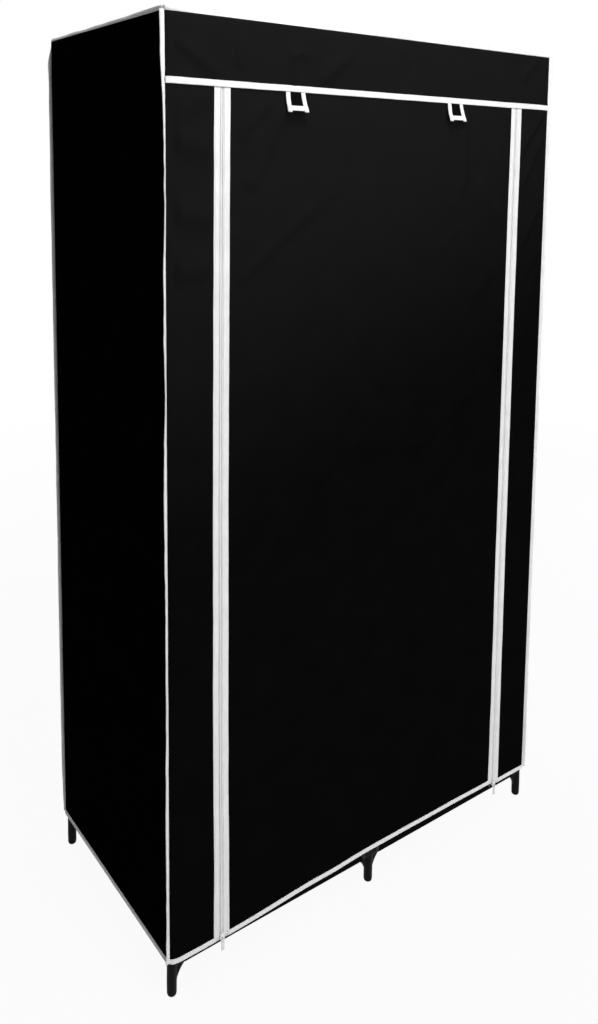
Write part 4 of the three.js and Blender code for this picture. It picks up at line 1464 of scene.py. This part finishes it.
# The hanging rail's brackets: a clip that is an open ring in section, a neck and a socket
RAIL_RISE = 2 * MM
CLIP_INNER = TUBE_RADIUS + 0.35 * MM
CLIP_OUTER = TUBE_RADIUS + 2.3 * MM
CLIP_HALF = 9 * MM
CLIP_START = -215
CLIP_SWEEP = 250
CLIP_STEPS = 24
NECK_HALF = 6 * MM
NECK_GAP = 0.8 * MM
SOCKET_REACH = 18 * MM
SOCKET_WALL = 2 * MM


def rail_clip(x, y):
    corners = ((CLIP_INNER, -1), (CLIP_OUTER, -1), (CLIP_OUTER, 1), (CLIP_INNER, 1))
    rings = []
    for step in range(CLIP_STEPS + 1):
        turn = math.radians(CLIP_START + CLIP_SWEEP * step / CLIP_STEPS)
        ring = []
        for radius, side in corners:
            z = TOP_RAIL + radius * math.sin(turn)
            ring.append((x + radius * math.cos(turn), y + side * CLIP_HALF, z))
        rings.append(ring)
    return skin(rings)


def hanging_rail():
    """The hanging rail, and a bracket at each end that clips up round the rail above."""
    node = "hanging_rail"
    y = middle(node).y
    z = low(node).z + TUBE_RADIUS + RAIL_RISE
    rail = tube((-POST_X + TUBE_RADIUS, y, z), POST_X - 2 * TUBE_RADIUS)
    make_piece("tube_hanging_rail", rail, "paint", replaces=node)
    for where, x, side in (("left", -POST_X, 1), ("right", 0, -1)):
        neck_top = TOP_RAIL - TUBE_RADIUS - NECK_GAP
        neck = box_shape(
            (x - NECK_HALF, y - CLIP_HALF, z + TUBE_RADIUS), (x + NECK_HALF, y + CLIP_HALF, neck_top),
        )
        start = (x - side * NECK_HALF, y, z)
        socket = rod(start, (side, 0, 0), NECK_HALF + SOCKET_REACH, TUBE_RADIUS + SOCKET_WALL)
        moulded("rail_bracket_" + where, [rail_clip(x, y), neck, socket], "plastic", node)


# Shelves. A sleeve goes round its rail from the seam under the sheet
SLEEVE = 8.8 * MM
SLEEVE_STEPS = 14
SLEEVE_START = -40
SLEEVE_SWEEP = -230
# The seam's places: how far inward of the rail's axis, and how far under the sleeve's top
SLEEVE_SEAM = [(17 * MM, 1.1 * MM), (12 * MM, 1.6 * MM)]
SLEEVE_POINTS = len(SLEEVE_SEAM) + SLEEVE_STEPS + 1
SHELF_LINES = 44
SHELF_SAG = 7 * MM
SHELF_SAG_LEAST = 0.75
SHELF_SAG_POWER = 1.2
SHELF_GATHERS = [(0.9 * MM, (0.03, 0.12), 40.5)]
SHELF_GATHER_MIDDLE = 0.45 * MM
SHELF_GATHER_SOON = 3


def sleeve_path(rail_y, rail_z, inward):
    """From under the sheet, round a rail and up onto its top, in Y and Z."""
    path = [(rail_y + inward * reach, rail_z + SLEEVE - under) for reach, under in SLEEVE_SEAM]
    for step in range(SLEEVE_STEPS + 1):
        turn = math.radians(SLEEVE_START + SLEEVE_SWEEP * step / SLEEVE_STEPS)
        path.append((rail_y + inward * SLEEVE * math.cos(turn), rail_z + SLEEVE * math.sin(turn)))
    return path


def along_rails(path, start, end):
    """A grid of cloth that follows a path in Y and Z, from one X to another."""
    path = np.array(path)
    x, row = np.meshgrid(levels(start, end, SHEET_GRID), np.arange(len(path)))
    return x, path[row, 0], path[row, 1], distances(path)[row], row


def shelf(name):
    """A shelf: one sheet sewn into a sleeve round its front rail and its back rail."""
    node = "shelf_" + name
    rails = [f"shelf_rail_{name}_front", f"shelf_rail_{name}_back"]
    rail_z = middle(rails[0]).z
    spread = np.linspace(FRONT_Y, BACK_Y, SHELF_LINES)[1:-1]
    path = sleeve_path(FRONT_Y, rail_z, 1) + [(y, rail_z + SLEEVE) for y in spread]
    path += sleeve_path(BACK_Y, rail_z, -1)[::-1]
    start, end = low(node).x, high(node).x
    x, y, z, along, row = along_rails(path, start, end)
    on_sheet = (row >= SLEEVE_POINTS) & (row < len(path) - SLEEVE_POINTS)
    share = np.clip((y - FRONT_Y) / DEPTH, 0, 1)
    slack = np.where(on_sheet, np.sin(math.pi * share) ** SHELF_SAG_POWER, 0)
    span = np.sin(math.pi * (x - start) / (end - start))
    sag = SHELF_SAG * slack * (SHELF_SAG_LEAST + (1 - SHELF_SAG_LEAST) * span)
    gather = uneven(SHELF_GATHERS, x, y) - SHELF_GATHER_MIDDLE
    z = z - sag + gather * np.minimum(1, slack * SHELF_GATHER_SOON)
    piece = make_cloth("shelf_cloth_" + name, grid(x, y, z, x, along), node, offset=0)


FLOOR_EDGE = TUBE_RADIUS + 0.4 * MM
FLOOR_SLACK = 0.14
FLOOR_SAG = 5 * MM
FLOOR_SAG_LEAST = 0.8
FLOOR_SAG_UNEVEN = [(0.3, (0.1, 0.1), 44.5)]
FOOT_CLEARANCE = 21.5 * MM


def floor_sheet():
    """The floor sheet between the rails on its four sides."""
    rise = BOTTOM_RAIL + SLEEVE
    rows = levels(FRONT_Y + FLOOR_EDGE, BACK_Y - FLOOR_EDGE, SHEET_GRID)
    x, y = np.meshgrid(levels(-POST_X, POST_X, SHEET_GRID), rows)
    from_sides = np.minimum(np.abs(x), POST_X - np.abs(x))
    from_rails = np.minimum(from_sides, np.minimum(y - rows[0], rows[-1] - y))
    slack = smooth_step(from_rails - TUBE_RADIUS, FLOOR_SLACK)
    sag = FLOOR_SAG * slack * (FLOOR_SAG_LEAST + uneven(FLOOR_SAG_UNEVEN, x, y))
    sheet = make_cloth("floor_cloth", grid(x, y, rise - sag, x, y), "floor_shelf", offset=0)


def floor_sleeves():
    """The floor sheet's sleeves round the front and back rails, between the feet."""
    for row, rail_y, inward in (("front", FRONT_Y, 1), ("back", BACK_Y, -1)):
        path = sleeve_path(rail_y, BOTTOM_RAIL, inward)
        path.append((rail_y + inward * FLOOR_EDGE, BOTTOM_RAIL + SLEEVE))
        for bay, start, end in (("left", -POST_X, 0), ("right", 0, POST_X)):
            start += FOOT_CLEARANCE
            end -= FOOT_CLEARANCE
            x, y, z, along, _ = along_rails(path, start, end)
            name = f"{row}_{bay}"
            piece = make_cloth("floor_sleeve_" + name, grid(x, y, z, x, along), "floor_shelf", offset=0)


# Zip sliders and pulls: the CAD pieces with their edges eased
SLIDER_EASE = 0.25 * MM


def sliders():
    for side in ("left", "right"):
        for node, finish in (("zip_slider_" + side, "enamel"), ("zip_pull_" + side, "pull")):
            piece = frame["nodes"][node]
            slot, material = FINISHES[finish]
            piece.data.materials.clear()
            piece.data.materials.append(material)
            ease = piece.modifiers.new("ease", "BEVEL")
            ease.width = SLIDER_EASE
            ease.segments = 2
            ease.limit_method = "ANGLE"


scene.view_settings.view_transform = "Standard"
make_camera()
make_world()
make_floor()
make_lights()
front_panels(bands())
wall_panels()
top_panel()
corner_bindings()
top_bindings()
for zip_side in ZIPS:
    zip_half(zip_side, "fixed")
    zip_half(zip_side, "door")
    tie_tab(zip_side)
tubes()
shelf_rails()
connectors()
hanging_rail()
shelf("lower")
shelf("upper")
floor_sheet()
floor_sleeves()
sliders()
